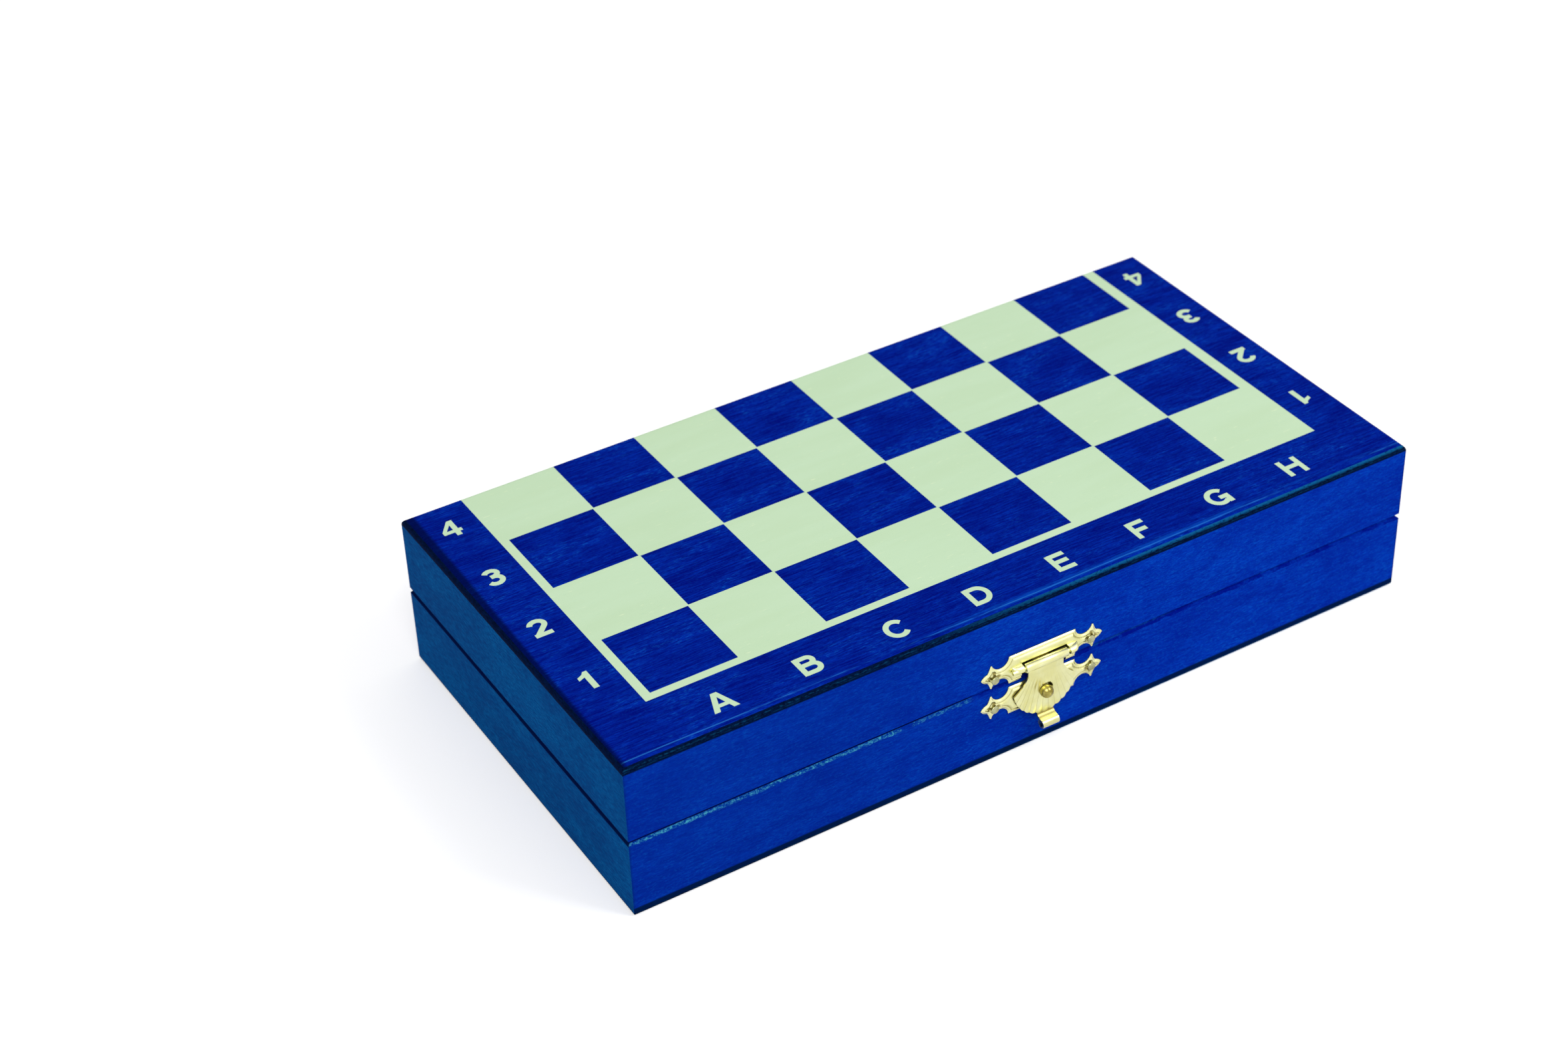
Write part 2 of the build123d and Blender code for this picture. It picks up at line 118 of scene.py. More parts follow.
def let_go(piece):
    """Take a piece up with nothing of its mesh selected, and return the mesh."""
    grasp(piece)
    bpy.ops.mesh.select_all(action="DESELECT")
    return put_down().data


def pick_edges(piece, wanted):
    """Select the edges whose two ends are wanted."""
    mesh = let_go(piece)
    for edge in mesh.edges:
        start, end = (mesh.vertices[corner].co for corner in edge.vertices)
        edge.select = wanted(start, end)
    bpy.ops.object.mode_set(mode="EDIT")
    bpy.ops.mesh.select_mode(type="EDGE")


def pick_faces(piece, wanted):
    """Select the faces whose centre is wanted."""
    for face in let_go(piece).polygons:
        face.select = wanted(face.center)
    bpy.ops.object.mode_set(mode="EDIT")
    bpy.ops.mesh.select_mode(type="FACE")


def drawn(name, loops, scale, thickness):
    """A flat shape with its holes, drawn on XY at a scale, as a mesh of one thickness about Z 0."""
    outline = bpy.data.curves.new(name, "CURVE")
    outline.dimensions = "2D"
    outline.fill_mode = "BOTH"
    outline.extrude = thickness / 2
    for loop in loops:
        spline = outline.splines.new("POLY")
        spline.points.add(len(loop) - 1)
        for point, (x, y) in zip(spline.points, loop):
            point.co = (x * scale, y * scale, 0, 1)
        spline.use_cyclic_u = True
    piece = bpy.data.objects.new(name, outline)
    bpy.context.collection.objects.link(piece)
    take_up(piece)
    bpy.ops.object.convert(target="MESH")
    return piece


def joined(pieces, name):
    """Several pieces made one, with a name."""
    clear_selection()
    for piece in pieces:
        piece.select_set(True)
    bpy.context.view_layer.objects.active = pieces[0]
    if len(pieces) > 1:
        bpy.ops.object.join()
    pieces[0].name = name
    return pieces[0]


def copied(piece):
    """A copy with its own mesh."""
    twin = piece.copy()
    twin.data = piece.data.copy()
    bpy.context.collection.objects.link(twin)
    return twin


def settle(piece, place):
    """Put a mesh in its place for good."""
    take_up(piece)
    piece.matrix_world = place
    bpy.ops.object.transform_apply()
    return piece


def shift(x, y=0, z=0):
    """A move in millimetres."""
    return Matrix.Translation((x * MM, y * MM, z * MM))


def finished(piece, material, body, slot, *replaced):
    """Give a piece its material and body, and let it stand for CAD nodes. The slot is not used."""
    if not piece.data.materials:
        piece.data.materials.append(material)
    for place, given in enumerate(piece.data.materials):
        if given is None:
            piece.data.materials[place] = material
    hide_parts(*replaced)
    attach(piece, body)


# Shader nodes

class Field:
    """One socket among a material's nodes. Arithmetic on it adds Math nodes."""

    def __init__(self, tree, socket=None):
        self.tree = tree
        self.socket = socket

    def node(self, kind, settings, sockets, output=0):
        """Add a node with its settings and its sockets' values or links, and return one output."""
        made = self.tree.nodes.new(kind)
        for setting, value in settings.items():
            setattr(made, setting, value)
        for socket, value in sockets.items():
            if isinstance(value, Field):
                self.tree.links.new(value.socket, made.inputs[socket])
            else:
                made.inputs[socket].default_value = value
        return Field(self.tree, made.outputs[output])

    def maths(self, operation, *values):
        """A Math node on these values."""
        return self.node("ShaderNodeMath", {"operation": operation}, dict(enumerate(values)))

    def __add__(self, other):
        return self.maths("ADD", self, other)

    def __mul__(self, other):
        return self.maths("MULTIPLY", self, other)

    __radd__ = __add__
    __rmul__ = __mul__

    def __sub__(self, other):
        return self.maths("SUBTRACT", self, other)

    def __rsub__(self, other):
        return self.maths("SUBTRACT", other, self)

    def __abs__(self):
        return self.maths("ABSOLUTE", self)

    def ramp(self, low, high):
        """0 at low, 1 at high, smooth between them."""
        return self.node(
            "ShaderNodeMapRange",
            {"interpolation_type": "SMOOTHSTEP"},
            {"Value": self, "From Min": low, "From Max": high},
        )

    def mix(self, first, second):
        """The first colour where this is 0, the second where it is 1."""
        return self.node("ShaderNodeMix", {"data_type": "RGBA"}, {0: self, 6: first, 7: second}, 2)

    def part(self, axis):
        """One of the three numbers of a vector."""
        return self.node("ShaderNodeSeparateXYZ", {}, {0: self}, axis)

    def noise(self, scale, detail=2.0, roughness=0.5, distortion=0.0):
        """Noise over this vector, with a scale for each axis in waves per metre."""
        spread = self.node("ShaderNodeMapping", {}, {"Vector": self, "Scale": scale})
        settings = {"Vector": spread, "Scale": 1.0, "Detail": detail, "Roughness": roughness}
        return self.node("ShaderNodeTexNoise", {}, settings | {"Distortion": distortion}, "Fac")


def srgb(red, green, blue):
    """A colour as seen, 0 to 255, in the numbers that a shader takes."""
    shares = [level / 255 for level in (red, green, blue)]
    linear = [share / 12.92 if share <= 0.04045 else ((share + 0.055) / 1.055) ** 2.4 for share in shares]
    return (*linear, 1)


def new_material(name, **constants):
    """A material, its shader with constants on its own sockets, and the object's coordinates."""
    material = bpy.data.materials.new(name)
    material.use_nodes = True
    tree = material.node_tree
    shader = tree.nodes["Principled BSDF"]
    for socket, value in constants.items():
        shader.inputs[socket.replace("_", " ")].default_value = value
    place = Field(tree).node("ShaderNodeTexCoord", {}, {}, "Object")
    return material, shader, place


def feed(shader, **fields):
    """Link fields to a shader's sockets."""
    for socket, field in fields.items():
        field.tree.links.new(field.socket, shader.inputs[socket.replace("_", " ")])


def bumped(height, strength, distance=0.0001):
    """A normal raised by a height field, its distance in metres."""
    return height.node("ShaderNodeBump", {}, {"Height": height, "Strength": strength, "Distance": distance})


def along(axis, fine, long):
    """Waves per metre across the grain and, much fewer, along it."""
    scale = [fine, fine, fine]
    scale[axis] = long
    return scale


def stained_wood(name, finish, grain, *colours):
    """Blue stained wood: streaks along the grain, clouds where the stain took less, flecks and pores.

    The grain is its axis, its waves per metre across and along, and how cloudy and how pored it is.
    The colours go from dark to light.
    """
    axis, fine, long, cloudy, pored = grain
    dark, middle, light = (srgb(*colour) for colour in colours)
    material, shader, place = new_material(name, Specular_IOR_Level=0.005)
    streaks = place.noise(along(axis, fine, long), 5, 0.6, 0.2)
    clouds = place.noise(along(axis, 90, 40), 4, 0.7, 0.5)
    flecks = place.noise(along(axis, 2800, 500), 4, 0.7)
    tone = (1 - cloudy) * streaks + cloudy * clouds
    colour = tone.ramp(0.36, 0.64).mix(dark, middle)
    worn = flecks.ramp(0.52, 0.72) * clouds.ramp(0.45, 0.65)
    colour = (0.75 * worn).mix(colour, light)
    colour = (0.75 * flecks.ramp(0.52, 0.34)).mix(colour, dark)
    pores = place.noise(along(axis, 3600, 1100), 2, 0.6)
    colour = (0.4 * pored * pores.ramp(0.54, 0.66)).mix(colour, dark)
    colour = (0.3 * pored * pores.ramp(0.44, 0.34)).mix(colour, light)
    feed(
        shader,
        Base_Color=finish(place, colour),
        Roughness=0.55 + 0.2 * clouds,
        Normal=bumped(flecks * 0.5 + streaks * 0.5, 0.3),
    )
    return material


def band(value, low, high, soft):
    """1 between two levels in millimetres and 0 outside them, with soft ends."""
    return value.ramp((low - soft) * MM, low * MM) * value.ramp((high + soft) * MM, high * MM)


def worn_front_with_painted_light(place, colour):
    """The front's edges: the base's rim is worn and painted lighter with a cyan highlight on the left, the
    lid's rim is painted in shade there, the outer edges are dark, and a shadow and a reflection are painted
    behind the clasp's window.
    """
    side = place.part(0)
    height = place.part(2)
    at_front = place.part(1).ramp(1.2 * MM - FOLD_Y, 1 * MM - FOLD_Y)
    ragged = (place.noise((160, 160, 160), 4, 0.75) - 0.5) * (2.2 * MM)
    grit = place.noise((900, 900, 2200), 5, 0.85)
    rub = place.noise((34, 34, 34), 3, 0.7)
    # A little darker towards the left
    colour = (0.34 * side.ramp(20 * MM, -90 * MM)).mix(colour, srgb(2, 34, 112))
    # The base's rim, left of the clasp, with one gap in it: worn to cyan, and painted lighter as a
    # highlight where its chamfer faces up
    left = side.ramp(-22 * MM, -26 * MM)
    bare = 0.6 * left + 0.4 * side.ramp(-45 * MM, -50 * MM)
    gap = 1 - band(side, -48.5, -45.5, 1)
    rim = (height + ragged).ramp(PARTING - 1.3 * MM, PARTING - 0.9 * MM)
    rim = rim * height.ramp(PARTING - 0.15 * MM, PARTING - 0.35 * MM)
    worn = rim * left * bare * gap * (0.45 + 0.55 * rub.ramp(0.36, 0.54))
    rub_and_highlight = grit.ramp(0.48, 0.62).mix(srgb(0, 62, 140), srgb(70, 164, 184))
    colour = (0.92 * at_front * worn * grit.ramp(0.38, 0.52)).mix(colour, rub_and_highlight)
    # A faint band at the parting right of the clasp: wear, and painted lighter as a highlight
    right = band(side, 22, 48, 4)
    faint = band(height, PARTING / MM - 0.35, PARTING / MM + 0.1, 0.15) * right * rub.ramp(0.4, 0.6)
    colour = (0.5 * at_front * faint).mix(colour, srgb(20, 100, 172))
    # The lid's rim faces down and is painted in shade on the left, and the base's rim is darker in patches
    # on the right
    lid_rim_shade = band(height, PARTING / MM - 0.12, PARTING / MM + 0.9, 0.15) * left
    colour = (0.95 * at_front * lid_rim_shade).mix(colour, srgb(0, 2, 60))
    below = band(height + 1.2 * ragged, PARTING / MM - 0.9, PARTING / MM - 0.1, 0.35) * (1 - left)
    patchy = 0.35 + 0.65 * place.noise((130, 130, 130), 4, 0.8).ramp(0.42, 0.56)
    colour = (0.85 * at_front * below * patchy).mix(colour, srgb(0, 6, 116))
    # The corners and the outer edges at the top and bottom
    corner = abs(side).ramp(CASE_LENGTH / 2 - 0.9 * MM, CASE_LENGTH / 2 - 0.2 * MM)
    colour = (0.5 * corner).mix(colour, srgb(0, 34, 104))
    outer = height.ramp(CASE_HEIGHT - 2.5 * MM, CASE_HEIGHT - 2.1 * MM)
    outer = outer.maths("MAXIMUM", outer, height.ramp(3.2 * MM, 2.5 * MM))
    colour = (0.94 * outer).mix(colour, srgb(0, 20, 52))
    # A painted shadow on the wood behind the clasp's window, with a painted gold reflection of the pin in
    # its middle
    behind = band(side, -8, 9.6, 0.1)
    behind = behind * band(height, PARTING / MM + 1, PARTING / MM + 7.5, 0.1)
    window_shadow_and_reflection = band(side, -2.2, 3, 0.6).mix(srgb(22, 22, 4), srgb(150, 132, 52))
    return (at_front * behind).mix(colour, window_shadow_and_reflection)


def shaded_parting(place, colour):
    """The sides' rim edges, painted dark as the shade in the groove between the halves."""
    off = place.part(2) - PARTING
    groove = abs(off).ramp(1.3 * MM, 0.9 * MM)
    return (0.92 * groove).mix(colour, srgb(1, 4, 50))


def scuffed_rim(place, colour):
    """The board's outer edges: pale scuffs along the front, and darker along the left end."""
    side = place.part(0)
    depth = place.part(1) + FOLD_Y + (place.noise((30, 30, 30), 2, 0.5) - 0.5) * (0.8 * MM)
    scuffs = place.noise((16, 120, 120), 5, 0.8).ramp(0.42, 0.56)
    broad = side.ramp(-110 * MM, -30 * MM) * band(depth, 2.4, 3.6, 0.8) * scuffs
    colour = (0.4 * broad).mix(colour, srgb(6, 80, 190))
    line = band(depth, 2.5, 2.65, 0.25) * scuffs
    colour = (0.65 * line).mix(colour, srgb(40, 118, 204))
    inward = CASE_LENGTH / 2 + side
    spread = 1.6 * MM + place.part(1).ramp(-FOLD_Y, FOLD_Y) * (1.6 * MM)
    return (0.85 * (inward - spread).ramp(1.2 * MM, -0.4 * MM)).mix(colour, srgb(0, 8, 56))


blue_top = stained_wood("blue_top", scuffed_rim, (0, 1900, 100, 0.3, 0.35),
                        (0, 10, 112), (1, 40, 158), (18, 96, 190))
blue_long = stained_wood("blue_long", worn_front_with_painted_light, (0, 1700, 190, 0.45, 1),
                         (0, 30, 138), (1, 52, 168), (8, 88, 184))
# The short sides take a darker, tealer copy of the same stain: painted shade
blue_short_shaded = stained_wood("blue_short_shaded", shaded_parting, (1, 1700, 300, 0.35, 0.6),
                          (0, 54, 114), (2, 80, 142), (20, 108, 164))


def bare_print():
    """Pale bare wood under clear lacquer, with a faint grain and a few bright pores."""
    material, shader, place = new_material("pale_print", Specular_IOR_Level=0.1)
    clouds = place.noise(along(0, 120, 20), 3, 0.55, 0.3)
    pores = place.noise(along(0, 2600, 240), 2, 0.5)
    colour = clouds.ramp(0.3, 0.7).mix(srgb(190, 216, 180), srgb(193, 219, 185))
    colour = (0.8 * pores.ramp(0.7, 0.78)).mix(colour, srgb(226, 238, 198))
    colour = (0.35 * pores.ramp(0.34, 0.26)).mix(colour, srgb(176, 208, 178))
    feed(shader, Base_Color=colour, Roughness=0.5 + 0.1 * clouds, Normal=bumped(pores, 0.12))
    return material


def panel_edge(name, along_front):
    """The panel's rounded edge, dark. Along the front, plies show, and towards the right the outer part of
    the rounding is worn and painted lighter as a highlight.
    """
    material, shader, place = new_material(name, Specular_IOR_Level=0.01)
    off = place.part(2) - PARTING
    depth = PARTING - abs(off)
    chips = place.noise((700, 700, 3000), 4, 0.75)
    colour = chips.ramp(0.35, 0.7).mix(srgb(0, 8, 34), srgb(0, 22, 62))
    if along_front:
        plies = band(depth, 0.85, 1.05, 0.12)
        plies = plies + 0.7 * band(depth, 1.5, 1.6, 0.12)
        colour = (0.55 * plies * chips.ramp(0.42, 0.66)).mix(colour, srgb(12, 74, 106))
        # Towards the right, the outer part of the rounding: wear and a painted highlight
        rub_and_highlight = depth.ramp(1.1 * MM, 0.5 * MM) * place.part(0).ramp(-0.05, 0.03)
        colour = (0.85 * rub_and_highlight * chips.ramp(0.28, 0.5)).mix(colour, srgb(10, 88, 142))
    feed(shader, Base_Color=colour, Roughness=0.55 + 0.15 * chips, Normal=bumped(chips, 0.35))
    return material


pale_print = bare_print()
long_edge = panel_edge("long_edge", True)
short_edge = panel_edge("short_edge", False)


# The two printed board panels, made unfolded and the base's half turned under

def colour_of(centre, normal):
    """Which finish a face of the panel has: 0 stain, 1 bare wood, 2 and 3 rounded edges, 4 and 5 sides."""
    on_end = abs(normal.x) > abs(normal.y)
    at_fold = abs(centre.y - FOLD_Y) < FOLD_ROUND
    if normal.z < 0.05:
        return 5 if on_end else 4
    if normal.z < 0.8 and not at_fold:
        return 3 if on_end else 2
    left, right = FIRST_COLUMN - LINE_LEFT, LAST_COLUMN + LINE_RIGHT
    near, far = FIRST_ROW - LINE_END, LAST_ROW + LINE_END
    if not (left < centre.x < right and near < centre.y < far):
        return 0
    column = floor((centre.x - FIRST_COLUMN) / PITCH)
    row = floor((centre.y - FIRST_ROW) / PITCH)
    if not (0 <= column < 8 and 0 <= row < 8) or (column + row) % 2:
        return 1
    past_column = centre.x - FIRST_COLUMN - column * PITCH
    past_row = centre.y - FIRST_ROW - row * PITCH
    return 1 if max(past_column, past_row) > PITCH - SHORT else 0


def fold_under(piece):
    """Turn a piece of the back half of the board about the fold, so that it faces down."""
    grasp(piece)
    bpy.ops.transform.rotate(value=pi, orient_axis="X", center_override=(0, FOLD_Y, PARTING))
    put_down()


def board_half(name, low_y, edge_round):
    """One half of the board with its rounded outer edges, cut along the lines of its print."""
    low = (-CASE_LENGTH / 2, low_y, CASE_HEIGHT - PANEL)
    high = (CASE_LENGTH / 2, low_y + CASE_WIDTH, CASE_HEIGHT - INK)
    panel = new_cube(name, low, high)
    for at_fold, radius, segments in ((False, edge_round, 6), (True, FOLD_ROUND, 4)):
        def on_rim(start, end):
            by_fold = abs((start.y + end.y) / 2 - FOLD_Y) < 0.01 * MM
            return min(start.z, end.z) > high[2] - 0.001 * MM and by_fold == at_fold

        pick_edges(panel, on_rim)
        bpy.ops.mesh.bevel(offset=radius, segments=segments)
    columns = [FIRST_COLUMN - LINE_LEFT, LAST_COLUMN + LINE_RIGHT]
    rows = [FIRST_ROW - LINE_END, LAST_ROW + LINE_END]
    for line in range(9):
        columns += [FIRST_COLUMN + line * PITCH, FIRST_COLUMN + line * PITCH - SHORT]
        rows += [FIRST_ROW + line * PITCH, FIRST_ROW + line * PITCH - SHORT]
    for x in columns:
        select_whole()
        bpy.ops.mesh.bisect(plane_co=(x, 0, 0), plane_no=(1, 0, 0))
    for y in rows:
        if low[1] < y < high[1]:
            select_whole()
            bpy.ops.mesh.bisect(plane_co=(0, y, 0), plane_no=(0, 1, 0))
    put_down()
    for material in (blue_top, pale_print, long_edge, short_edge, blue_long, blue_short_shaded):
        panel.data.materials.append(material)
    for face in panel.data.polygons:
        face.material_index = colour_of(face.center, face.normal)
    return panel


def bow(x, y, wide, high, start, end):
    """Points along a bow about a centre, its angles in degrees."""
    steps = 20
    turns = [radians(start + (end - start) * step / steps) for step in range(steps + 1)]
    return [(x + wide * cos(turn), y + high * sin(turn)) for turn in turns]


def stroke(points):
    """The outline of a line of one thickness with square ends, and of a ring where the line closes."""
    closed = abs(points[0][0] - points[-1][0]) + abs(points[0][1] - points[-1][1]) < 1e-6
    line = [Vector(point) for point in points]
    sides = []
    for place, point in enumerate(line):
        before = line[place - 1] if place else (line[-2] if closed else point)
        after = line[place + 1] if place + 1 < len(line) else (line[1] if closed else point)
        ahead = (after - point).normalized() if after != point else (point - before).normalized()
        behind = (point - before).normalized() if before != point else ahead
        middle = (ahead + behind).normalized()
        reach = STROKE / 2 / max(middle.dot(ahead), 0.5)
        sides.append(Vector((-middle.y, middle.x)) * reach)
    left = [point + side for point, side in zip(line, sides)]
    right = [point - side for point, side in zip(line, sides)]
    return [left[:-1], right[:-1]] if closed else [left + right[::-1]]


def rung(left, right, height):
    """A level stroke."""
    return stroke([(left, height), (right, height)])


# The letters and numbers, one unit high: lines of one thickness, or whole outlines
STROKE = 0.208
STEM = [(0.1, 0), (0.1, 1)]
GLYPHS = {
    "A": [[[(0, 0), (0.37, 1), (0.61, 1), (0.98, 0), (0.75, 0), (0.68, 0.21), (0.3, 0.21), (0.23, 0)],
           [(0.36, 0.38), (0.62, 0.38), (0.49, 0.76)]]],
    "B": [stroke(STEM), stroke([(0.1, 0.905), *bow(0.48, 0.72, 0.2, 0.185, 90, -90), (0.1, 0.535)]),
          stroke([(0.1, 0.535), *bow(0.51, 0.315, 0.24, 0.22, 90, -90), (0.1, 0.095)])],
    "C": [stroke(bow(0.47, 0.5, 0.37, 0.405, 38, 322))],
    "D": [stroke(STEM), stroke([(0.1, 0.905), *bow(0.42, 0.5, 0.37, 0.405, 90, -90), (0.1, 0.095)])],
    "E": [stroke(STEM), rung(0.1, 0.75, 0.905), rung(0.1, 0.7, 0.52),
          rung(0.1, 0.77, 0.095)],
    "F": [stroke(STEM), rung(0.1, 0.73, 0.905), rung(0.1, 0.64, 0.48)],
    "G": [stroke(bow(0.48, 0.5, 0.38, 0.405, 40, 315)), stroke([(0.83, 0.02), (0.83, 0.5)]),
          rung(0.52, 0.93, 0.43)],
    "H": [stroke(STEM), stroke([(0.77, 0), (0.77, 1)]), rung(0.1, 0.77, 0.53)],
    "1": [[[(0.32, 0), (0.54, 0), (0.54, 1), (0.38, 1), (0.3, 0.88), (0.08, 0.77), (0.08, 0.6),
            (0.32, 0.7)]]],
    "2": [stroke([*bow(0.37, 0.68, 0.27, 0.225, 170, -38), (0.17, 0.13)]),
          rung(0.03, 0.71, 0.095)],
    "3": [stroke([*bow(0.36, 0.725, 0.235, 0.18, 160, -90), (0.27, 0.545)]),
          stroke([(0.27, 0.53), *bow(0.36, 0.315, 0.26, 0.22, 90, -160)])],
    "4": [[[(0.44, 0), (0.64, 0), (0.64, 0.22), (0.76, 0.22), (0.76, 0.4), (0.64, 0.4), (0.64, 1),
            (0.44, 1), (0.02, 0.41), (0.02, 0.22), (0.44, 0.22)],
           [(0.44, 0.4), (0.19, 0.4), (0.44, 0.74)]]],
    "5": [rung(0.13, 0.67, 0.905), stroke([(0.2, 0.98), (0.14, 0.45)]),
          stroke(bow(0.36, 0.325, 0.265, 0.23, 145, -155))],
    "6": [stroke(bow(0.38, 0.325, 0.265, 0.23, 0, 360)), stroke(bow(0.45, 0.48, 0.335, 0.425, 50, 200))],
    "7": [rung(0.04, 0.7, 0.905), stroke([(0.6, 0.87), (0.4, 0.5), (0.27, 0)])],
    "8": [stroke(bow(0.38, 0.735, 0.215, 0.17, 0, 360)), stroke(bow(0.38, 0.315, 0.255, 0.22, 0, 360))],
}


def flat_mark(mark):
    """One letter or number as a thin mesh about the origin, at its size."""
    parts = []
    for loops in GLYPHS[mark]:
        # Each stroke is thinner than the last, so that none share a face where they cross
        parts.append(drawn(f"mark_{mark}", loops, LETTER_HEIGHT, INK * (1 - 0.2 * len(parts))))
    grasp(joined(parts, f"mark_{mark}"))
    across = [point[0] for loops in GLYPHS[mark] for loop in loops for point in loop]
    middle = (min(across) + max(across)) / 2
    bpy.ops.transform.translate(value=(-middle * LETTER_HEIGHT, -LETTER_HEIGHT / 2, 0))
    return put_down()


def lettering(name, marks, under):
    """All the letters of one half, as one piece."""
    made = []
    for mark, x, y, turned in marks:
        made.append(copied(flat_marks[mark]))
        grasp(made[-1])
        if turned:
            bpy.ops.transform.rotate(value=pi, orient_axis="Z", center_override=(0, 0, 0))
        bpy.ops.transform.translate(value=(x, y, CASE_HEIGHT - INK / 2))
        put_down()
    piece = joined(made, name)
    if under:
        fold_under(piece)
    piece.data.materials.append(pale_print)
    return piece


flat_marks = {mark: flat_mark(mark) for mark in GLYPHS}
lid_board = board_half("printed_lid_panel", -CASE_WIDTH / 2, EDGE_ROUND)
base_board = board_half("printed_base_panel", FOLD_Y, UNDER_ROUND)
fold_under(base_board)
for board, body in ((lid_board, "lid"), (base_board, "base")):
    finished(board, blue_top, body, "blue_case_wood", f"{body}_panel")

near_marks = []
far_marks = []
for column, mark in enumerate("ABCDEFGH"):
    x = FIRST_COLUMN + (column + 0.5) * PITCH
    near_marks.append((mark, x, FIRST_ROW - LINE_END - LETTER_OUT, False))
    far_marks.append((mark, x, LAST_ROW + LINE_END + LETTER_OUT, True))
for row in range(8):
    y = FIRST_ROW + (row + 0.5) * PITCH
    marks = near_marks if row < 4 else far_marks
    marks.append((str(row + 1), FIRST_COLUMN - LINE_LEFT - LEFT_NUMBER_OUT, y, False))
    marks.append((str(row + 1), LAST_COLUMN + LINE_RIGHT + RIGHT_NUMBER_OUT, y, True))
for marks, body in ((near_marks, "lid"), (far_marks, "base")):
    letters = lettering(f"{body}_lettering", marks, body == "base")
    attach(letters, body)
for mark in flat_marks.values():
    bpy.data.objects.remove(mark)


# Metals, foam and turned wood, and the materials of the CAD pieces that are seen as they are

def repaint(material, *names):
    """Give CAD nodes a material."""
    for name in names:
        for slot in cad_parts[name].material_slots:
            slot.material = material


def metal(name, colour, shade, roughness, scale, rough=0.25):
    """Plain or polished metal with fine scratches and duller patches, darkened where the mesh is marked:
    tarnished metal together with painted shade and painted dark reflections.
    """
    material, shader, place = new_material(name, Metallic=1.0)
    patches = place.noise((scale, scale, scale), 3, 0.6)
    scratches = place.noise((scale * 20, scale * 3, scale * 6), 2, 0.6)
    # How dark the mesh marks a place: tarnished hollows together with painted shade and painted dark
    # reflections
    shade_and_tarnish = place.node("ShaderNodeAttribute", {"attribute_name": "shade_and_tarnish"}, {}, "Fac")
    tone = patches.ramp(0.35, 0.7).mix(colour, shade)
    feed(
        shader,
        Base_Color=shade_and_tarnish.mix(tone, [0.42 * shade[0], 0.36 * shade[1], 0.24 * shade[2], 1]),
        Roughness=roughness + 0.12 * patches,
        Normal=bumped(scratches * 0.3 + patches * 0.7, rough, 0.00004),
    )
    return material


brass = metal("clasp_brass", srgb(240, 239, 182), srgb(229, 226, 157), 0.24, 160, 0.08)
old_gold = metal("old_gold", srgb(182, 170, 94), srgb(136, 122, 54), 0.16, 400, 0.1)
magnet_steel = metal("magnet_steel", srgb(206, 208, 212), srgb(170, 174, 180), 0.15, 300, 0.05)
nail_steel = metal("nail_steel", srgb(190, 190, 148), srgb(150, 150, 104), 0.2, 500, 0.15)
hinge_steel = metal("hinge_steel", srgb(214, 196, 140), srgb(176, 152, 96), 0.3, 300)
sheet_steel = metal("sheet_steel", srgb(186, 190, 194), srgb(150, 154, 160), 0.4, 120)


def foam_material():
    """Soft dark foam with open cells."""
    material, shader, place = new_material("foam", Specular_IOR_Level=0.1)
    cells = place.node("ShaderNodeTexVoronoi", {}, {"Vector": place, "Scale": 1600.0}, "Distance")
    colour = cells.ramp(0.1, 0.6).mix(srgb(18, 24, 48), srgb(36, 46, 82))
    feed(shader, Base_Color=colour, Roughness=0.9 + 0.05 * cells, Normal=bumped(cells, 0.5, 0.0003))
    return material


def turned_wood(name, light, dark):
    """Lacquered wood with its grain."""
    material, shader, place = new_material(name, Specular_IOR_Level=0.4)
    grain = place.noise(along(1, 500, 30), 4, 0.6, 0.4)
    colour = grain.ramp(0.35, 0.65).mix(dark, light)
    feed(shader, Base_Color=colour, Roughness=0.35 + 0.15 * grain, Normal=bumped(grain, 0.2))
    return material


foam = foam_material()
natural_wood = turned_wood("natural_wood", srgb(226, 196, 148), srgb(196, 158, 106))
blue_wood = turned_wood("blue_wood", srgb(14, 60, 150), srgb(4, 28, 96))
for half in ("base", "lid"):
    repaint(blue_long, f"{half}_front_rail", f"{half}_back_rail")
    repaint(blue_short_shaded, f"{half}_left_rail", f"{half}_right_rail")
    repaint(foam, f"{half}_insert")
    repaint(sheet_steel, f"{half}_steel_sheet")
repaint(brass, "clasp_pin")


# Clasp. Shapes are drawn on the front face, in millimetres from the clasp's middle at the parting

CLASP = Matrix.Translation((0.6 * MM, -CASE_WIDTH / 2, PARTING)) @ Matrix.Rotation(pi / 2, 4, "X")
UPPER_MIDDLE = 4.9
LOWER_MIDDLE = -6.6
PLATE_EDGE = 5.05
PLATE_BLANK = (44.4, 10.5)
PLATE_CELLS = (296, 70)
BLANK_DEEP = 4
PLATE_SIDE = 0.25
LIP_WIDE = 0.12
LIP_HIGH = 0.25
SLOPE_WIDE = 0.85
SLOPE_HIGH = 0.5
GROOVE_IN = 1.15
GROOVE_HALF = 0.25
GROOVE_DEEP = 0.22
FIELD_IN = 1.35
FIELD_STEP = 0.45
FIELD_HIGH = 0.25
DENT_DEEP = 0.45
POCKET_HALF = 1.4
POCKETS = [(8.6, 12.2, 2.3), (-7.3, -11.3, 1.7)]
WINDOW = [(-7.6, -2, -1), (8.8, 6.4, 5)]
NAIL_SIDE = 17.6
HASP_SIDE = 0.5
AXIS_HEIGHT = 4.5
AXIS_OUT = 1.85
BARREL = 3.1
BARREL_HALF = 7.6
SHEET = 0.6
NECK_HALF = 6.4
NECK_END = 0.6
SHELL_CENTRE = -3.4
SHELL_RADIUS = 11.4
SHELL_SPAN = radians(162)
FLUTES = 13
FLUTE_RISE = 0.16
SHELL_CUP = 0.35
KNOB_HEIGHT = -6.2
KNOB_OUT = 3.3
KNOB_BALL = 2.15
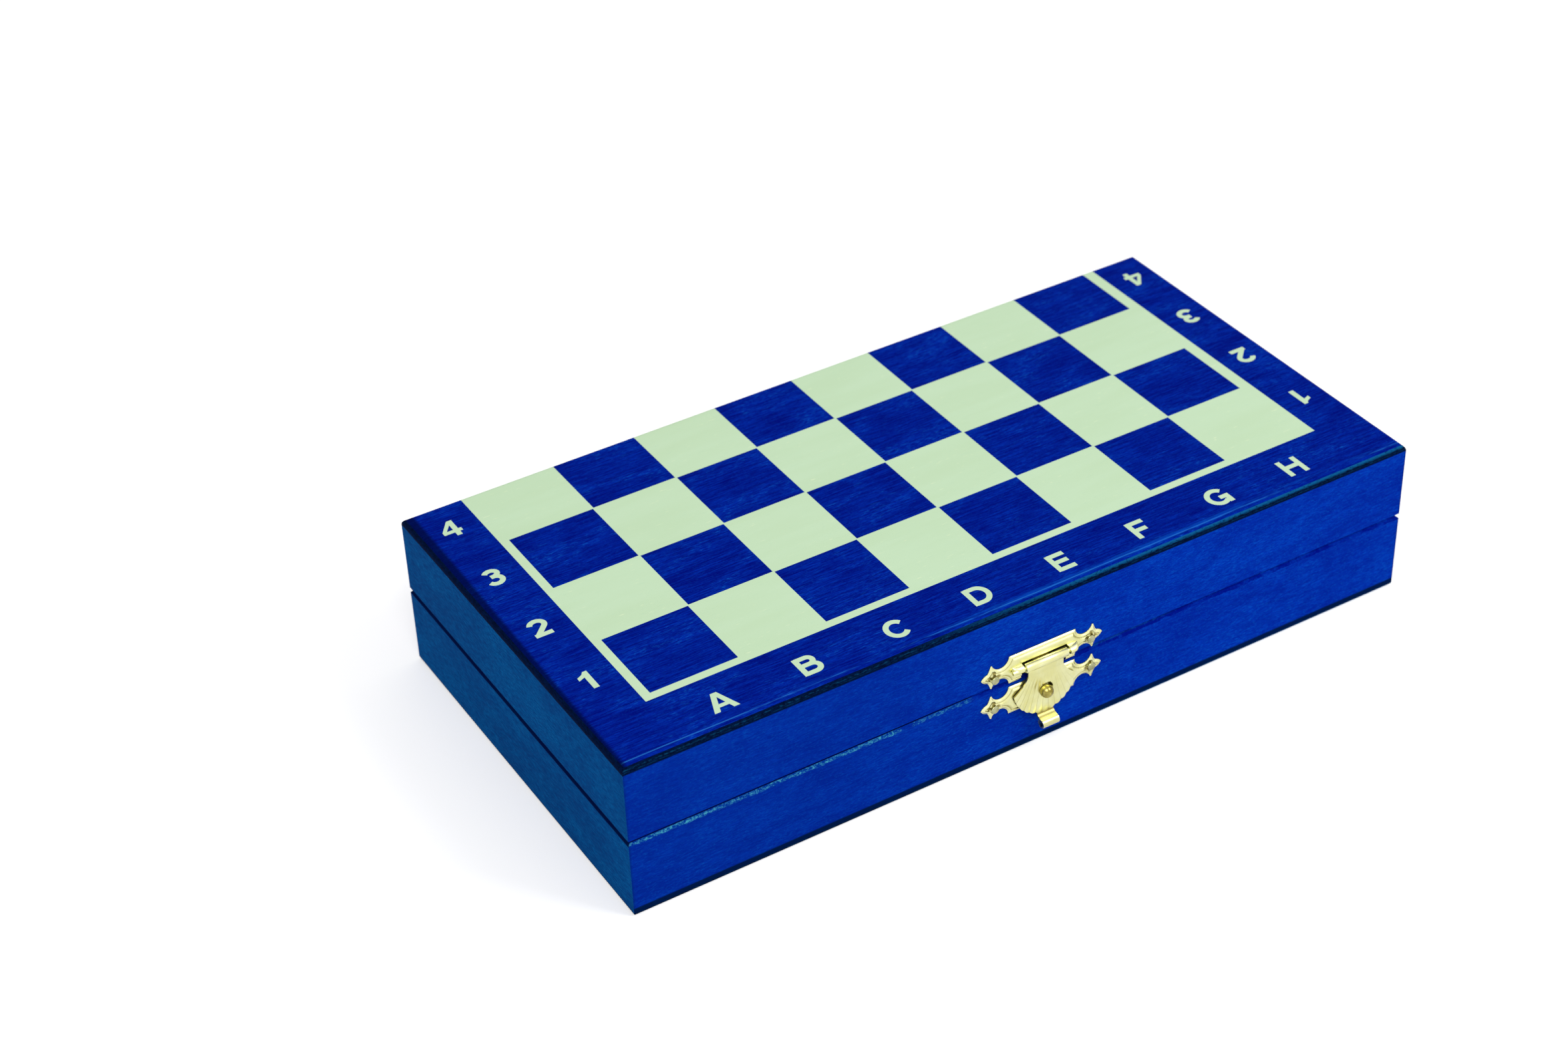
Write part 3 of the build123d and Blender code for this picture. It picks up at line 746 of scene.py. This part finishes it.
HOLE = 2.5
TAB = 5.9
TAB_BEND = 16.1
CURL_OUT = 4.2
CURL_HEIGHT = -17.4
CURL_RADIUS = 1.5


def cut_sheet(name, loops, thickness):
    """A flat shape cut from sheet, its drawing in millimetres on XY, its thickness along Z from 0."""
    grasp(drawn(name, loops, MM, thickness * MM))
    bpy.ops.mesh.remove_doubles(threshold=1e-6)
    bpy.ops.mesh.dissolve_limited(angle_limit=radians(1))
    bpy.ops.mesh.normals_make_consistent()
    bpy.ops.transform.translate(value=(0, 0, thickness / 2 * MM))
    return put_down()


def cut_away(piece, cutter, operation="DIFFERENCE"):
    """Cut one piece by another, which is used up."""
    take_up(piece)
    cut = piece.modifiers.new("cut", "BOOLEAN")
    cut.operation = operation
    cut.solver = "EXACT"
    cut.material_mode = "TRANSFER"
    cut.object = cutter
    bpy.ops.object.modifier_apply(modifier="cut")
    bpy.data.objects.remove(cutter)


def slit(piece, low, high, turn=None):
    """Cut a piece by a block between two corners in millimetres, turned if asked."""
    cutter = new_cube("slit", [value * MM for value in low], [value * MM for value in high])
    put_down()
    if turn:
        settle(cutter, turn)
    cut_away(piece, cutter)


def turned_piece(name, profile, steps=32):
    """A piece turned about Z from its profile of (radius, height) in millimetres, closed at both ends."""
    bpy.ops.mesh.primitive_circle_add(vertices=3, radius=MM)
    grasp(named(name))
    bpy.ops.mesh.merge(type="CENTER")
    bpy.ops.mesh.select_mode(type="VERT")
    select_whole()
    here = (0, 0)
    for step, (radius, height) in enumerate(profile):
        move = ((radius - here[0]) * MM, 0, (height - here[1]) * MM)
        if step:
            bpy.ops.mesh.extrude_vertices_move(TRANSFORM_OT_translate={"value": move})
        else:
            bpy.ops.transform.translate(value=move)
        here = (radius, height)
    select_whole()
    bpy.ops.mesh.spin(steps=steps, angle=2 * pi, center=(0, 0, 0), axis=(0, 0, 1))
    select_whole()
    bpy.ops.mesh.remove_doubles(threshold=1e-6)
    bpy.ops.mesh.normals_make_consistent()
    return put_down()


def rounded_block(name, low, high, radius, segments=4):
    """A block between two corners in millimetres, its edges rounded."""
    new_cube(name, [value * MM for value in low], [value * MM for value in high])
    bpy.ops.mesh.bevel(offset=radius * MM, segments=segments, clamp_overlap=True)
    return put_down()


def smooth(piece, angle=35):
    """Shade a piece smooth where its faces meet at less than an angle."""
    take_up(piece)
    bpy.ops.object.shade_smooth_by_angle(angle=radians(angle))
    return piece


def arc_through(start, middle, end, steps=10):
    """Points on the arc through three points, both ends in it."""
    (ax, ay), (bx, by), (cx, cy) = start, middle, end
    scale = 2 * (ax * (by - cy) + bx * (cy - ay) + cx * (ay - by))
    a, b, c = ax * ax + ay * ay, bx * bx + by * by, cx * cx + cy * cy
    centre = Vector(((a * (by - cy) + b * (cy - ay) + c * (ay - by)) / scale,
                     (a * (cx - bx) + b * (ax - cx) + c * (bx - ax)) / scale))
    first, last = Vector(start) - centre, Vector(end) - centre
    whole = first.angle_signed(last)
    half = first.angle_signed(Vector(middle) - centre)
    if half * whole < 0 or abs(half) > abs(whole):
        whole -= 2 * pi * (1 if whole > 0 else -1)
    turned = [Matrix.Rotation(-whole * step / steps, 2) @ first for step in range(steps + 1)]
    return [tuple(centre + reach) for reach in turned]


def plate_outline():
    """The stamped outline, a quarter mirrored all round: straight edge, scoop, spike, notch and petal."""
    quarter = [(12, PLATE_EDGE)]
    quarter += arc_through(quarter[0], (15.1, 2), (18.2, PLATE_EDGE - 0.75), 12)[1:]
    quarter += [(18.6, PLATE_EDGE - 0.85), (18.95, 3.2), (19.35, 2.2), (19.8, 1.6)]
    quarter += arc_through((20.1, 1.55), (21.2, 0.95), (22, 0), 7)
    right = quarter + [(x, -y) for x, y in quarter[-2::-1]]
    return right + [(-x, -y) for x, y in right]


def inward_of(point, outline):
    """How far a point is from an outline's nearest edge."""
    nearest = 1000
    for start, end in outline:
        side = end - start
        share = min(max((point - start).dot(side) / side.length_squared, 0), 1)
        nearest = min(nearest, (point - start - share * side).length)
    return nearest


def stamped(x, y, inward, pockets):
    """The height of a plate's front and how dark it is painted, at a place this far in from the edge."""
    # A flat lip, a slope up from it, a groove and a field a step higher
    slope = min(max(inward - LIP_WIDE, 0) / SLOPE_WIDE, 1)
    height = LIP_HIGH + SLOPE_HIGH * slope * (2 - slope)
    groove = max(0, 1 - abs(inward - GROOVE_IN) / GROOVE_HALF)
    step = min(max((inward - FIELD_IN) / FIELD_STEP, 0), 1)
    height += FIELD_HIGH * step * step * (3 - 2 * step) - GROOVE_DEEP * groove
    # The groove and the foot of the step are painted darker: tarnished brass together with painted shade
    # and dark reflections
    shade_and_tarnish = 0.8 * groove + 0.4 * (1 - step) * step
    # A dented star under each nail
    spot = Vector((abs(x) - NAIL_SIDE, y))
    points = 1.6 + 0.8 * cos(4 * Vector((1, 0)).angle_signed(spot, 0))
    dent = max(0, 1 - spot.length / points) ** 0.6
    height -= DENT_DEEP * dent
    # The star dent is painted dark: painted shade in its hollow together with tarnished brass
    shade_and_tarnish = max(shade_and_tarnish, min(1, 2.5 * dent))
    # A tunnel over each end of the pin, from its mouth to its closed end
    for mouth, end, rise in pockets:
        along_pin = (x - mouth) / (end - mouth)
        off_pin = (y - AXIS_HEIGHT + UPPER_MIDDLE) / POCKET_HALF
        if 0 < along_pin < 1 and abs(off_pin) < 1:
            height = max(height, height + rise * (1 - off_pin ** 2) ** 0.5 * (1 - along_pin ** 4) ** 0.5)
    return height, shade_and_tarnish


def shaped(piece, form):
    """Move each vertex of a piece to where a form puts it, and store how dark the form paints it, for
    tarnished metal and painted shade.
    """
    shade_and_tarnish_values = piece.data.attributes.new("shade_and_tarnish", "FLOAT", "POINT")
    for vertex in piece.data.vertices:
        vertex.co, shade_and_tarnish_values.data[vertex.index].value = form(vertex.co.copy())
    return piece


def clasp_plate(name, middle, pockets):
    """A stamped plate: a grid pressed into its relief, given a back, and cut to its outline."""
    outline = [Vector(point) for point in plate_outline()]
    edges = list(zip(outline, outline[1:] + outline[:1]))

    def pressed(spot):
        x, y = spot.x * PLATE_BLANK[0], spot.y * PLATE_BLANK[1]
        height, shade_and_tarnish = stamped(x, y, inward_of(Vector((x, y)), edges), pockets)
        return (x * MM, y * MM, height * MM), shade_and_tarnish

    bpy.ops.mesh.primitive_grid_add(x_subdivisions=PLATE_CELLS[0], y_subdivisions=PLATE_CELLS[1], size=1)
    plate = shaped(named(name), pressed)
    grasp(plate)
    bpy.ops.mesh.extrude_region_move(TRANSFORM_OT_translate={"value": (0, 0, -BLANK_DEEP * MM)})
    select_whole()
    bpy.ops.mesh.normals_make_consistent()
    put_down()
    cut_away(plate, cut_sheet("blank", [plate_outline()], BLANK_DEEP), "INTERSECT")
    plate.data.materials.append(brass)
    return settle(plate, shift(PLATE_SIDE, middle))


upper_plate = clasp_plate("stamped_upper_plate", UPPER_MIDDLE, POCKETS)
slit(upper_plate, *WINDOW)
smooth(settle(upper_plate, CLASP), 40)
finished(upper_plate, brass, "lid", "clasp_brass", "clasp_upper_plate")
lower_plate = clasp_plate("stamped_lower_plate", LOWER_MIDDLE, [])
smooth(settle(lower_plate, CLASP), 40)
finished(lower_plate, brass, "base", "clasp_brass", "clasp_lower_plate")


def shell_place(spot):
    """Where a point of a grid, -1 to 1 both ways, comes to lie on the shell's front, and how dark it is
    painted.
    """
    across, down = spot.x, (1 - spot.y) / 2
    ridge = abs(sin(FLUTES * pi * (across + 1) / 2))
    slant = -pi / 2 + SHELL_SPAN / 2 * across
    reach = SHELL_RADIUS - 0.3 * (1 - ridge) * (1 - across ** 2)
    neck = Vector((across * NECK_HALF, NECK_END, 0))
    rim = Vector((reach * cos(slant), SHELL_CENTRE + reach * sin(slant), 0))
    point = neck.lerp(rim, down)
    point.x -= 0.7 * sin(pi * down) * across ** 7
    from_knob = Vector((point.x, point.y - KNOB_HEIGHT)).length
    boss = 0.3 * max(0.0, 1 - max(from_knob - HOLE, 0) / 2.2) ** 2
    point.z = AXIS_OUT + SHEET / 2 + FLUTE_RISE * ridge * down - SHELL_CUP * across ** 2 * down + boss
    # The valleys between the flutes are painted darker, more on the left half: painted shade with some
    # tarnished brass
    return point * MM, (0.42 - 0.3 * across) * max(0.0, 1 - 5 * ridge) * min(1.0, 1.6 * down)


def fluted_shell():
    """The hasp's shell: a grid drawn out into flutes, holed for the knob and given its thickness."""
    bpy.ops.mesh.primitive_grid_add(x_subdivisions=FLUTES * 12, y_subdivisions=24, size=2)
    shell = shaped(named("fluted_shell"), shell_place)
    knob = Vector((0, KNOB_HEIGHT * MM))
    pick_faces(shell, lambda centre: (centre.xy - knob).length < HOLE * MM)
    bpy.ops.mesh.delete(type="FACE")
    put_down()
    for vertex in shell.data.vertices:
        reach = vertex.co.xy - knob
        if reach.length < (HOLE + 0.22) * MM:
            vertex.co.xy = knob + reach.normalized() * HOLE * MM
    take_up(shell)
    wall = shell.modifiers.new("wall", "SOLIDIFY")
    wall.thickness = SHEET * MM
    bpy.ops.object.modifier_apply(modifier="wall")
    # The back is painted dark: painted shade and a painted dark reflection
    shade_and_tarnish_values = shell.data.attributes["shade_and_tarnish"]
    for vertex in shell.data.vertices:
        if vertex.normal.z < 0:
            shade_and_tarnish_values.data[vertex.index].value = 1.0
    return shell


def barrel_piece():
    """The rolled barrel, bored for its pin."""
    radius = BARREL / 2
    half = BARREL_HALF
    profile = [(0.8, -half + 1), (0.8, -half), (radius - 0.2, -half), (radius, -half + 0.2),
               (radius, half - 0.2), (radius - 0.2, half), (0.8, half), (0.8, half - 1), (0, half - 1)]
    barrel = turned_piece("barrel", [(0, -half + 1)] + profile, 40)
    return settle(barrel, shift(0, AXIS_HEIGHT, AXIS_OUT) @ Matrix.Rotation(pi / 2, 4, "Y"))


def tab_piece():
    """The tab under the shell, bent forward and curled back on itself."""
    middle = CURL_RADIUS - SHEET / 2
    curl = [(CURL_OUT + middle * cos(turn), CURL_HEIGHT + middle * sin(turn))
            for turn in [radians(100 - 15 * step) for step in range(24)]]
    bend = [(AXIS_OUT, -14.2), (AXIS_OUT + 0.05, -14.9), (AXIS_OUT + 0.5, -15.5), (AXIS_OUT + 1.3, -15.95)]
    line = [Vector(point) for point in bend + curl]
    left, right = [], []
    for place, point in enumerate(line):
        ahead = (line[min(place + 1, len(line) - 1)] - line[max(place - 1, 0)]).normalized()
        side = Vector((-ahead.y, ahead.x)) * SHEET / 2
        left.append(tuple(point + side))
        right.append(tuple(point - side))
    tab = cut_sheet("tab", [left + right[::-1]], TAB)
    # Painted shade where the tab leaves the shell, and the rest of the tab painted a little darker as a
    # dull reflection
    shaped(tab, lambda spot: (spot, min(max(0.25, (spot.y / MM + TAB_BEND) / 0.6), 1)))
    return settle(tab, Matrix.Rotation(-pi / 2, 4, "Y") @ shift(0, 0, -TAB / 2))


neck = rounded_block(
    "neck",
    (-NECK_HALF, NECK_END - 0.2, AXIS_OUT - SHEET / 2),
    (NECK_HALF, AXIS_HEIGHT, AXIS_OUT + SHEET / 2),
    0.12,
)
hasp = joined([fluted_shell(), neck, barrel_piece(), tab_piece()], "shell_hasp")
smooth(settle(hasp, CLASP @ shift(HASP_SIDE)), 50)
finished(hasp, brass, "hasp", "clasp_brass", "clasp_hasp")

ball = [(KNOB_BALL * cos(radians(turn)), KNOB_OUT + KNOB_BALL * sin(radians(turn)))
        for turn in range(-55, 76, 10)]
knob_profile = [(0, 0), (1.1, 0), (1.1, 0.8), (1.7, 0.85), (1.7, 1.1), (1.2, 1.3)] + ball
knob_profile += [(0.42, 5.42), (0.34, 5.56), (0, 5.6)]
knob = turned_piece("ball_knob", knob_profile, 40)
smooth(settle(knob, CLASP @ shift(0, KNOB_HEIGHT)), 40)
finished(knob, old_gold, "base", "clasp_brass", "clasp_knob")

nail_profile = [(0, 2.1), (0.9, 2.09), (1.25, 1.98), (1.35, 1.8), (1.3, 1.65), (0.55, 1.6), (0.55, -4.6),
                (0, -5.2)]
upper_nails = [(-NAIL_SIDE, UPPER_MIDDLE - 0.45), (NAIL_SIDE - 0.4, UPPER_MIDDLE)]
lower_nails = [(-NAIL_SIDE, LOWER_MIDDLE), (NAIL_SIDE + 0.1, LOWER_MIDDLE + 0.8)]
for body, half, places in (("lid", "upper", upper_nails), ("base", "lower", lower_nails)):
    pair = []
    for side, height in places:
        nail = turned_piece("plate_nail", nail_profile, 24)
        pair.append(settle(nail, CLASP @ shift(side, height)))
    nails = smooth(joined(pair, f"{body}_plate_nails"))
    finished(nails, nail_steel, body, "nail_steel", f"clasp_{half}_nails")


# Chessmen lying in the foam, their outlines as (radius, height) from the foot, around the magnet's bore

BORE = [(0, 2.05), (3.05, 2.05), (3.05, 0)]
PROFILES = {
    "pawns": [(6.3, 0), (6.75, 0.4), (6.75, 2.4), (6.2, 3.1), (5.1, 3.8), (4.4, 5), (3.4, 8), (2.6, 12),
              (2.1, 15.4), (2.1, 16.2), (3.3, 16.6), (3.6, 17.2), (3.3, 17.8), (2.6, 18.2), (2.5, 19.1)],
    "rooks": [(7.7, 0), (8.15, 0.5), (8.15, 3.2), (7.6, 3.9), (6.4, 4.6), (6, 5.6), (5.3, 8), (4.7, 13),
              (4.3, 18.6), (4.3, 19.6), (5.3, 20.3), (5.7, 21.2), (5.85, 22.6), (5.85, 30.7), (5.6, 31),
              (4.1, 31), (3.9, 30.7), (3.9, 26.7), (0, 26.7)],
    "knights": [(7.7, 0), (8.15, 0.5), (8.15, 3.3), (7.6, 4), (6.3, 4.8), (5.8, 6), (5.6, 7.6),
                (6, 8.8), (5.9, 9.7), (5.2, 10.1), (0, 10.1)],
    "bishops": [(7.7, 0), (8.15, 0.5), (8.15, 3.7), (7.5, 4.6), (6.1, 5.6), (5.4, 7.2), (4, 12),
                (2.9, 17), (2.35, 22.4), (2.35, 23.4), (3.8, 24), (4.1, 24.8), (3.8, 25.6), (2.7, 26.2),
                (2.6, 27), (3.6, 29.2), (4.05, 31.4), (3.8, 33.6), (2.8, 35.8), (1.5, 37.1),
                (0.9, 37.6), (1.1, 38.4), (1.1, 39.2), (0.7, 39.8), (0, 40)],
    "queen": [(8.5, 0), (8.95, 0.5), (8.95, 3.4), (8.3, 4.3), (6.8, 5.4), (6, 7), (4.6, 12), (3.3, 19),
              (2.5, 26), (2.5, 27.4), (4.2, 28.2), (4.6, 29.2), (4.2, 30.2), (2.9, 31), (2.8, 32),
              (3.6, 35.4), (5.3, 40.2), (5.5, 40.6), (4.6, 40.6), (3.6, 41.4), (2.2, 42.4), (1.3, 43),
              (1.2, 43.4), (1.55, 44.2), (1.5, 45.1), (0.9, 45.8), (0, 46)],
    "king": [(8.8, 0), (9.25, 0.5), (9.25, 3.8), (8.6, 4.7), (7, 5.9), (6.2, 7.6), (4.8, 13), (3.5, 20),
             (2.75, 26.6), (2.75, 28.2), (4.5, 29), (4.9, 30), (4.5, 31), (3.2, 31.8), (3.1, 33),
             (3.7, 36), (5.1, 39.8), (4.9, 40.6), (3.4, 41.6), (2, 42.4), (1.3, 43.2), (0, 43.3)],
}
HORSE = [(-4.4, 9.6), (-5, 13), (-5.3, 17), (-5, 21.5), (-4.1, 26), (-2.9, 30), (-1.6, 33.2),
         (-0.5, 34.6), (-0.2, 36), (0.7, 34.4), (1.2, 32.2), (2.8, 30.6), (4.9, 28.4), (6.4, 26.2),
         (6.3, 24.4), (5.4, 22.6), (4.3, 22.2), (3.3, 23.2), (1.9, 23), (1, 21.4), (1.6, 18.6),
         (3.2, 15.4), (4.3, 12.4), (4.4, 9.6)]
FILE_PITCH = 33
LYING = 17.4
OFFICER_FOOT = -58.65
PAWN_FOOT = 58.65
COLUMNS = {"rooks": (0, 7), "knights": (1, 6), "bishops": (2, 5), "queen": (3,), "king": (4,),
           "pawns": range(8)}


def carved_horse():
    """A horse's head sawn from flat wood, its edges eased."""
    head = cut_sheet("horse", [HORSE], 7.6)
    pick_edges(head, lambda start, end: abs(start.z - end.z) < 1e-6)
    bpy.ops.mesh.bevel(offset=0.9 * MM, segments=3, clamp_overlap=True)
    put_down()
    return settle(head, Matrix.Rotation(pi / 2, 4, "X") @ shift(0, 0, -3.8))


def chessman(kind):
    """One chessman standing on the origin."""
    profile = BORE + PROFILES[kind]
    if kind == "pawns":
        head = [(4.1 * cos(radians(turn)), 22.85 + 4.1 * sin(radians(turn))) for turn in range(-55, 90, 12)]
        profile += head + [(0, 26.95)]
    piece = turned_piece(kind, profile, 36)
    if kind == "rooks":
        slit(piece, (-9, -1.05, 26.7), (9, 1.05, 33))
        slit(piece, (-1.05, -9, 26.7), (1.05, 9, 33))
    elif kind == "bishops":
        turn = shift(3.3, 0, 34.4) @ Matrix.Rotation(radians(35), 4, "Y")
        slit(piece, (-0.45, -8, -3.2), (0.45, 8, 3.2), turn)
    elif kind == "queen":
        for step in range(6):
            turn = Matrix.Rotation(radians(60 * step), 4, "Z")
            slit(piece, (3.6, -0.7, 38.4), (7, 0.7, 42), turn)
    elif kind == "king":
        upright = rounded_block("cross_upright", (-0.85, -0.85, 42.8), (0.85, 0.85, 50), 0.25, 2)
        arms = rounded_block("cross_arms", (-2.8, -0.85, 45.8), (2.8, 0.85, 47.5), 0.25, 2)
        piece = joined([piece, upright, arms], kind)
    elif kind == "knights":
        piece = joined([piece, carved_horse()], kind)
    return smooth(piece, 40)


def lying_place(column, foot, height):
    """Where a chessman lies, its foot towards a long side of the case."""
    inward = -1 if foot > 0 else 1
    turn = Matrix(((1, 0, 0, 0), (0, 0, inward, 0), (0, -inward, 0, 0), (0, 0, 0, 1)))
    return Matrix.Translation(((column - 3.5) * FILE_PITCH * MM, foot * MM, height)) @ turn


magnet = turned_piece("magnet", [(0, 0), (2.8, 0), (3, 0.2), (3, 1.8), (2.8, 2), (0, 2)])
smooth(magnet)
for side, body, wood, slot_name, height in (
    ("white", "base", natural_wood, "natural_wood", LYING * MM),
    ("blue", "lid", blue_wood, "blue_chess_wood", CASE_HEIGHT - LYING * MM),
):
    discs = []
    for kind, columns in COLUMNS.items():
        standing = chessman(kind)
        foot = PAWN_FOOT if kind == "pawns" else OFFICER_FOOT
        group = []
        for column in columns:
            place = lying_place(column, foot, height)
            group.append(settle(copied(standing), place))
            discs.append(settle(copied(magnet), place))
        bpy.data.objects.remove(standing)
        group = joined(group, f"{side}_{kind}_turned")
        finished(group, wood, body, slot_name, f"{side}_{kind}")
    finished(joined(discs, f"{side}_magnet_discs"), magnet_steel, body, "magnet", f"{side}_magnets")
bpy.data.objects.remove(magnet)


# Hinges, let into the rims at the back

LEAF_HALF = 15
LEAF_BACK = 64.25
LEAF_RELIEF = 68.4
HINGE_SIDE = 92
KNUCKLE = 1.9
KNUCKLE_HALF = 4.9
HINGE_NAIL_HALF = 9
HINGE_NAIL_LINE = FOLD_Y / MM - 4.25


def on_axis(middle):
    """A place on the hinges' axis for a piece turned about Z."""
    return Matrix.Translation((middle * MM, FOLD_Y, PARTING)) @ Matrix.Rotation(pi / 2, 4, "Y")


def knuckle(middle):
    """One knuckle about the hinge's axis, bored for the pin."""
    ends = [(0.82, -1.5), (0.82, -KNUCKLE_HALF), (1.75, -KNUCKLE_HALF), (KNUCKLE, -KNUCKLE_HALF + 0.15)]
    profile = ends + [(radius, -height) for radius, height in reversed(ends)]
    piece = turned_piece("knuckle", [(0, -1.5)] + profile + [(0, 1.5)], 28)
    return settle(piece, on_axis(middle))


def nail_place(middle, side):
    """Where a hinge's nail goes in, on one side of the hinge's middle."""
    return Matrix.Translation(((middle + side * HINGE_NAIL_HALF) * MM, HINGE_NAIL_LINE * MM, PARTING))


def hinge_leaf(name, middle, own_knuckles, under):
    """A leaf with its knuckles and countersunk nail holes, under the parting or over it."""
    level = PARTING / MM
    low, high = (level - 1, level) if under else (level, level + 1)
    left, right = (middle - LEAF_HALF, LEAF_BACK, low), (middle + LEAF_HALF, LEAF_RELIEF, high)
    parts = [rounded_block(name, left, right, 0.12, 2)]
    for side in (-1, 1):
        sink = turned_piece("sink", [(0, -2), (1.15, -2), (1.15, 2), (0, 2)], 24)
        cut_away(parts[0], settle(sink, nail_place(middle, side)))
    for place in own_knuckles:
        x = middle + place
        back = FOLD_Y / MM
        parts.append(rounded_block(
            "tongue", (x - KNUCKLE_HALF, LEAF_RELIEF - 0.3, low), (x + KNUCKLE_HALF, back, high), 0.1, 2
        ))
        parts.append(knuckle(x))
    return smooth(joined(parts, name), 40)


pin_profile = [(0, -15), (0.5, -15), (0.78, -14.8), (0.78, 14.8), (0.5, 15), (0, 15)]
for side, middle in (("left", -HINGE_SIDE), ("right", HINGE_SIDE)):
    for body, own_knuckles in (("base", (-10, 10)), ("lid", (0,))):
        leaf = hinge_leaf(f"{side}_hinge_{body}_leaf", middle, own_knuckles, body == "base")
        finished(leaf, hinge_steel, body, "hinge_steel", f"hinge_{side}_{body}_leaf")
    pin = turned_piece(f"{side}_hinge_pin_round", pin_profile, 24)
    smooth(settle(pin, on_axis(middle)))
    finished(pin, nail_steel, "base", "hinge_steel", f"hinge_{side}_pin")

sunk_nail = [(0, -7), (0.8, -6.2), (0.8, -0.9), (1.05, -0.3), (1.0, -0.12), (0.6, -0.05), (0, -0.05)]
for body, turn in (("base", 0), ("lid", pi)):
    group = []
    for middle in (-HINGE_SIDE, HINGE_SIDE):
        for side in (-1, 1):
            nail = turned_piece("hinge_nail", sunk_nail, 20)
            group.append(settle(nail, nail_place(middle, side) @ Matrix.Rotation(turn, 4, "X")))
    nails = smooth(joined(group, f"{body}_hinge_nails_round"))
    finished(nails, nail_steel, body, "nail_steel", f"hinge_{body}_nails")


# Floor, light and camera

bpy.ops.mesh.primitive_plane_add(size=6)
floor_plane = named("floor")
floor_paint, floor_shader, floor_place = new_material(
    "floor_paint", Roughness=0.9, Specular_IOR_Level=0.0, Emission_Strength=0.26
)
floor_tone = floor_place.noise((3, 3, 3), 2, 0.5)
floor_seen = floor_place.node("ShaderNodeLightPath", {}, {}, "Is Camera Ray")
feed(
    floor_shader,
    Base_Color=floor_tone.mix((0.94, 0.94, 0.94, 1), (0.96, 0.96, 0.96, 1)),
    Emission_Color=floor_seen.mix((0, 0, 0, 1), (1, 1, 1, 1)),
)
floor_plane.data.materials.append(floor_paint)

world = bpy.data.worlds.new("studio")
bpy.context.scene.world = world
world.use_nodes = True
air = world.node_tree.nodes["Background"]
sky = Field(world.node_tree)
seen = sky.node("ShaderNodeLightPath", {}, {}, "Is Camera Ray")
for ray in ("Is Glossy Ray", "Is Transmission Ray"):
    seen = seen.maths("MAXIMUM", seen, sky.node("ShaderNodeLightPath", {}, {}, ray))
air.inputs["Color"].default_value = (1, 1, 1, 1)
world.node_tree.links.new((0.62 + 0.38 * seen).socket, air.inputs["Strength"])


def lamp(name, place, aim, size, watts):
    """A soft square lamp pointed at the object."""
    bpy.ops.object.light_add(type="AREA", location=place)
    light = named(name)
    light.data.size = size
    light.data.energy = watts
    light.rotation_euler = (Vector(aim) - Vector(place)).to_track_quat("-Z", "Y").to_euler()


lamp("key_lamp", (-0.9, -1.3, 1.7), (0, 0, 0.03), 1.2, 18)
lamp("side_lamp", (0.9, -1.0, 1.25), (0, 0, 0.03), 0.7, 12)

bpy.ops.object.camera_add(location=(-0.3997, -0.6136, 0.5715))
camera = named("camera")
camera.data.lens = 66.33
camera.data.dof.use_dof = True
camera.data.dof.focus_distance = 0.84
camera.data.dof.aperture_fstop = 15
turn = Matrix.Rotation(radians(-30.04), 4, "Z") @ Matrix.Rotation(radians(54.06), 4, "X")
camera.rotation_euler = (turn @ Matrix.Rotation(radians(-2.315), 4, "Z")).to_euler()
bpy.context.scene.camera = camera
bpy.context.scene.view_settings.view_transform = "Standard"
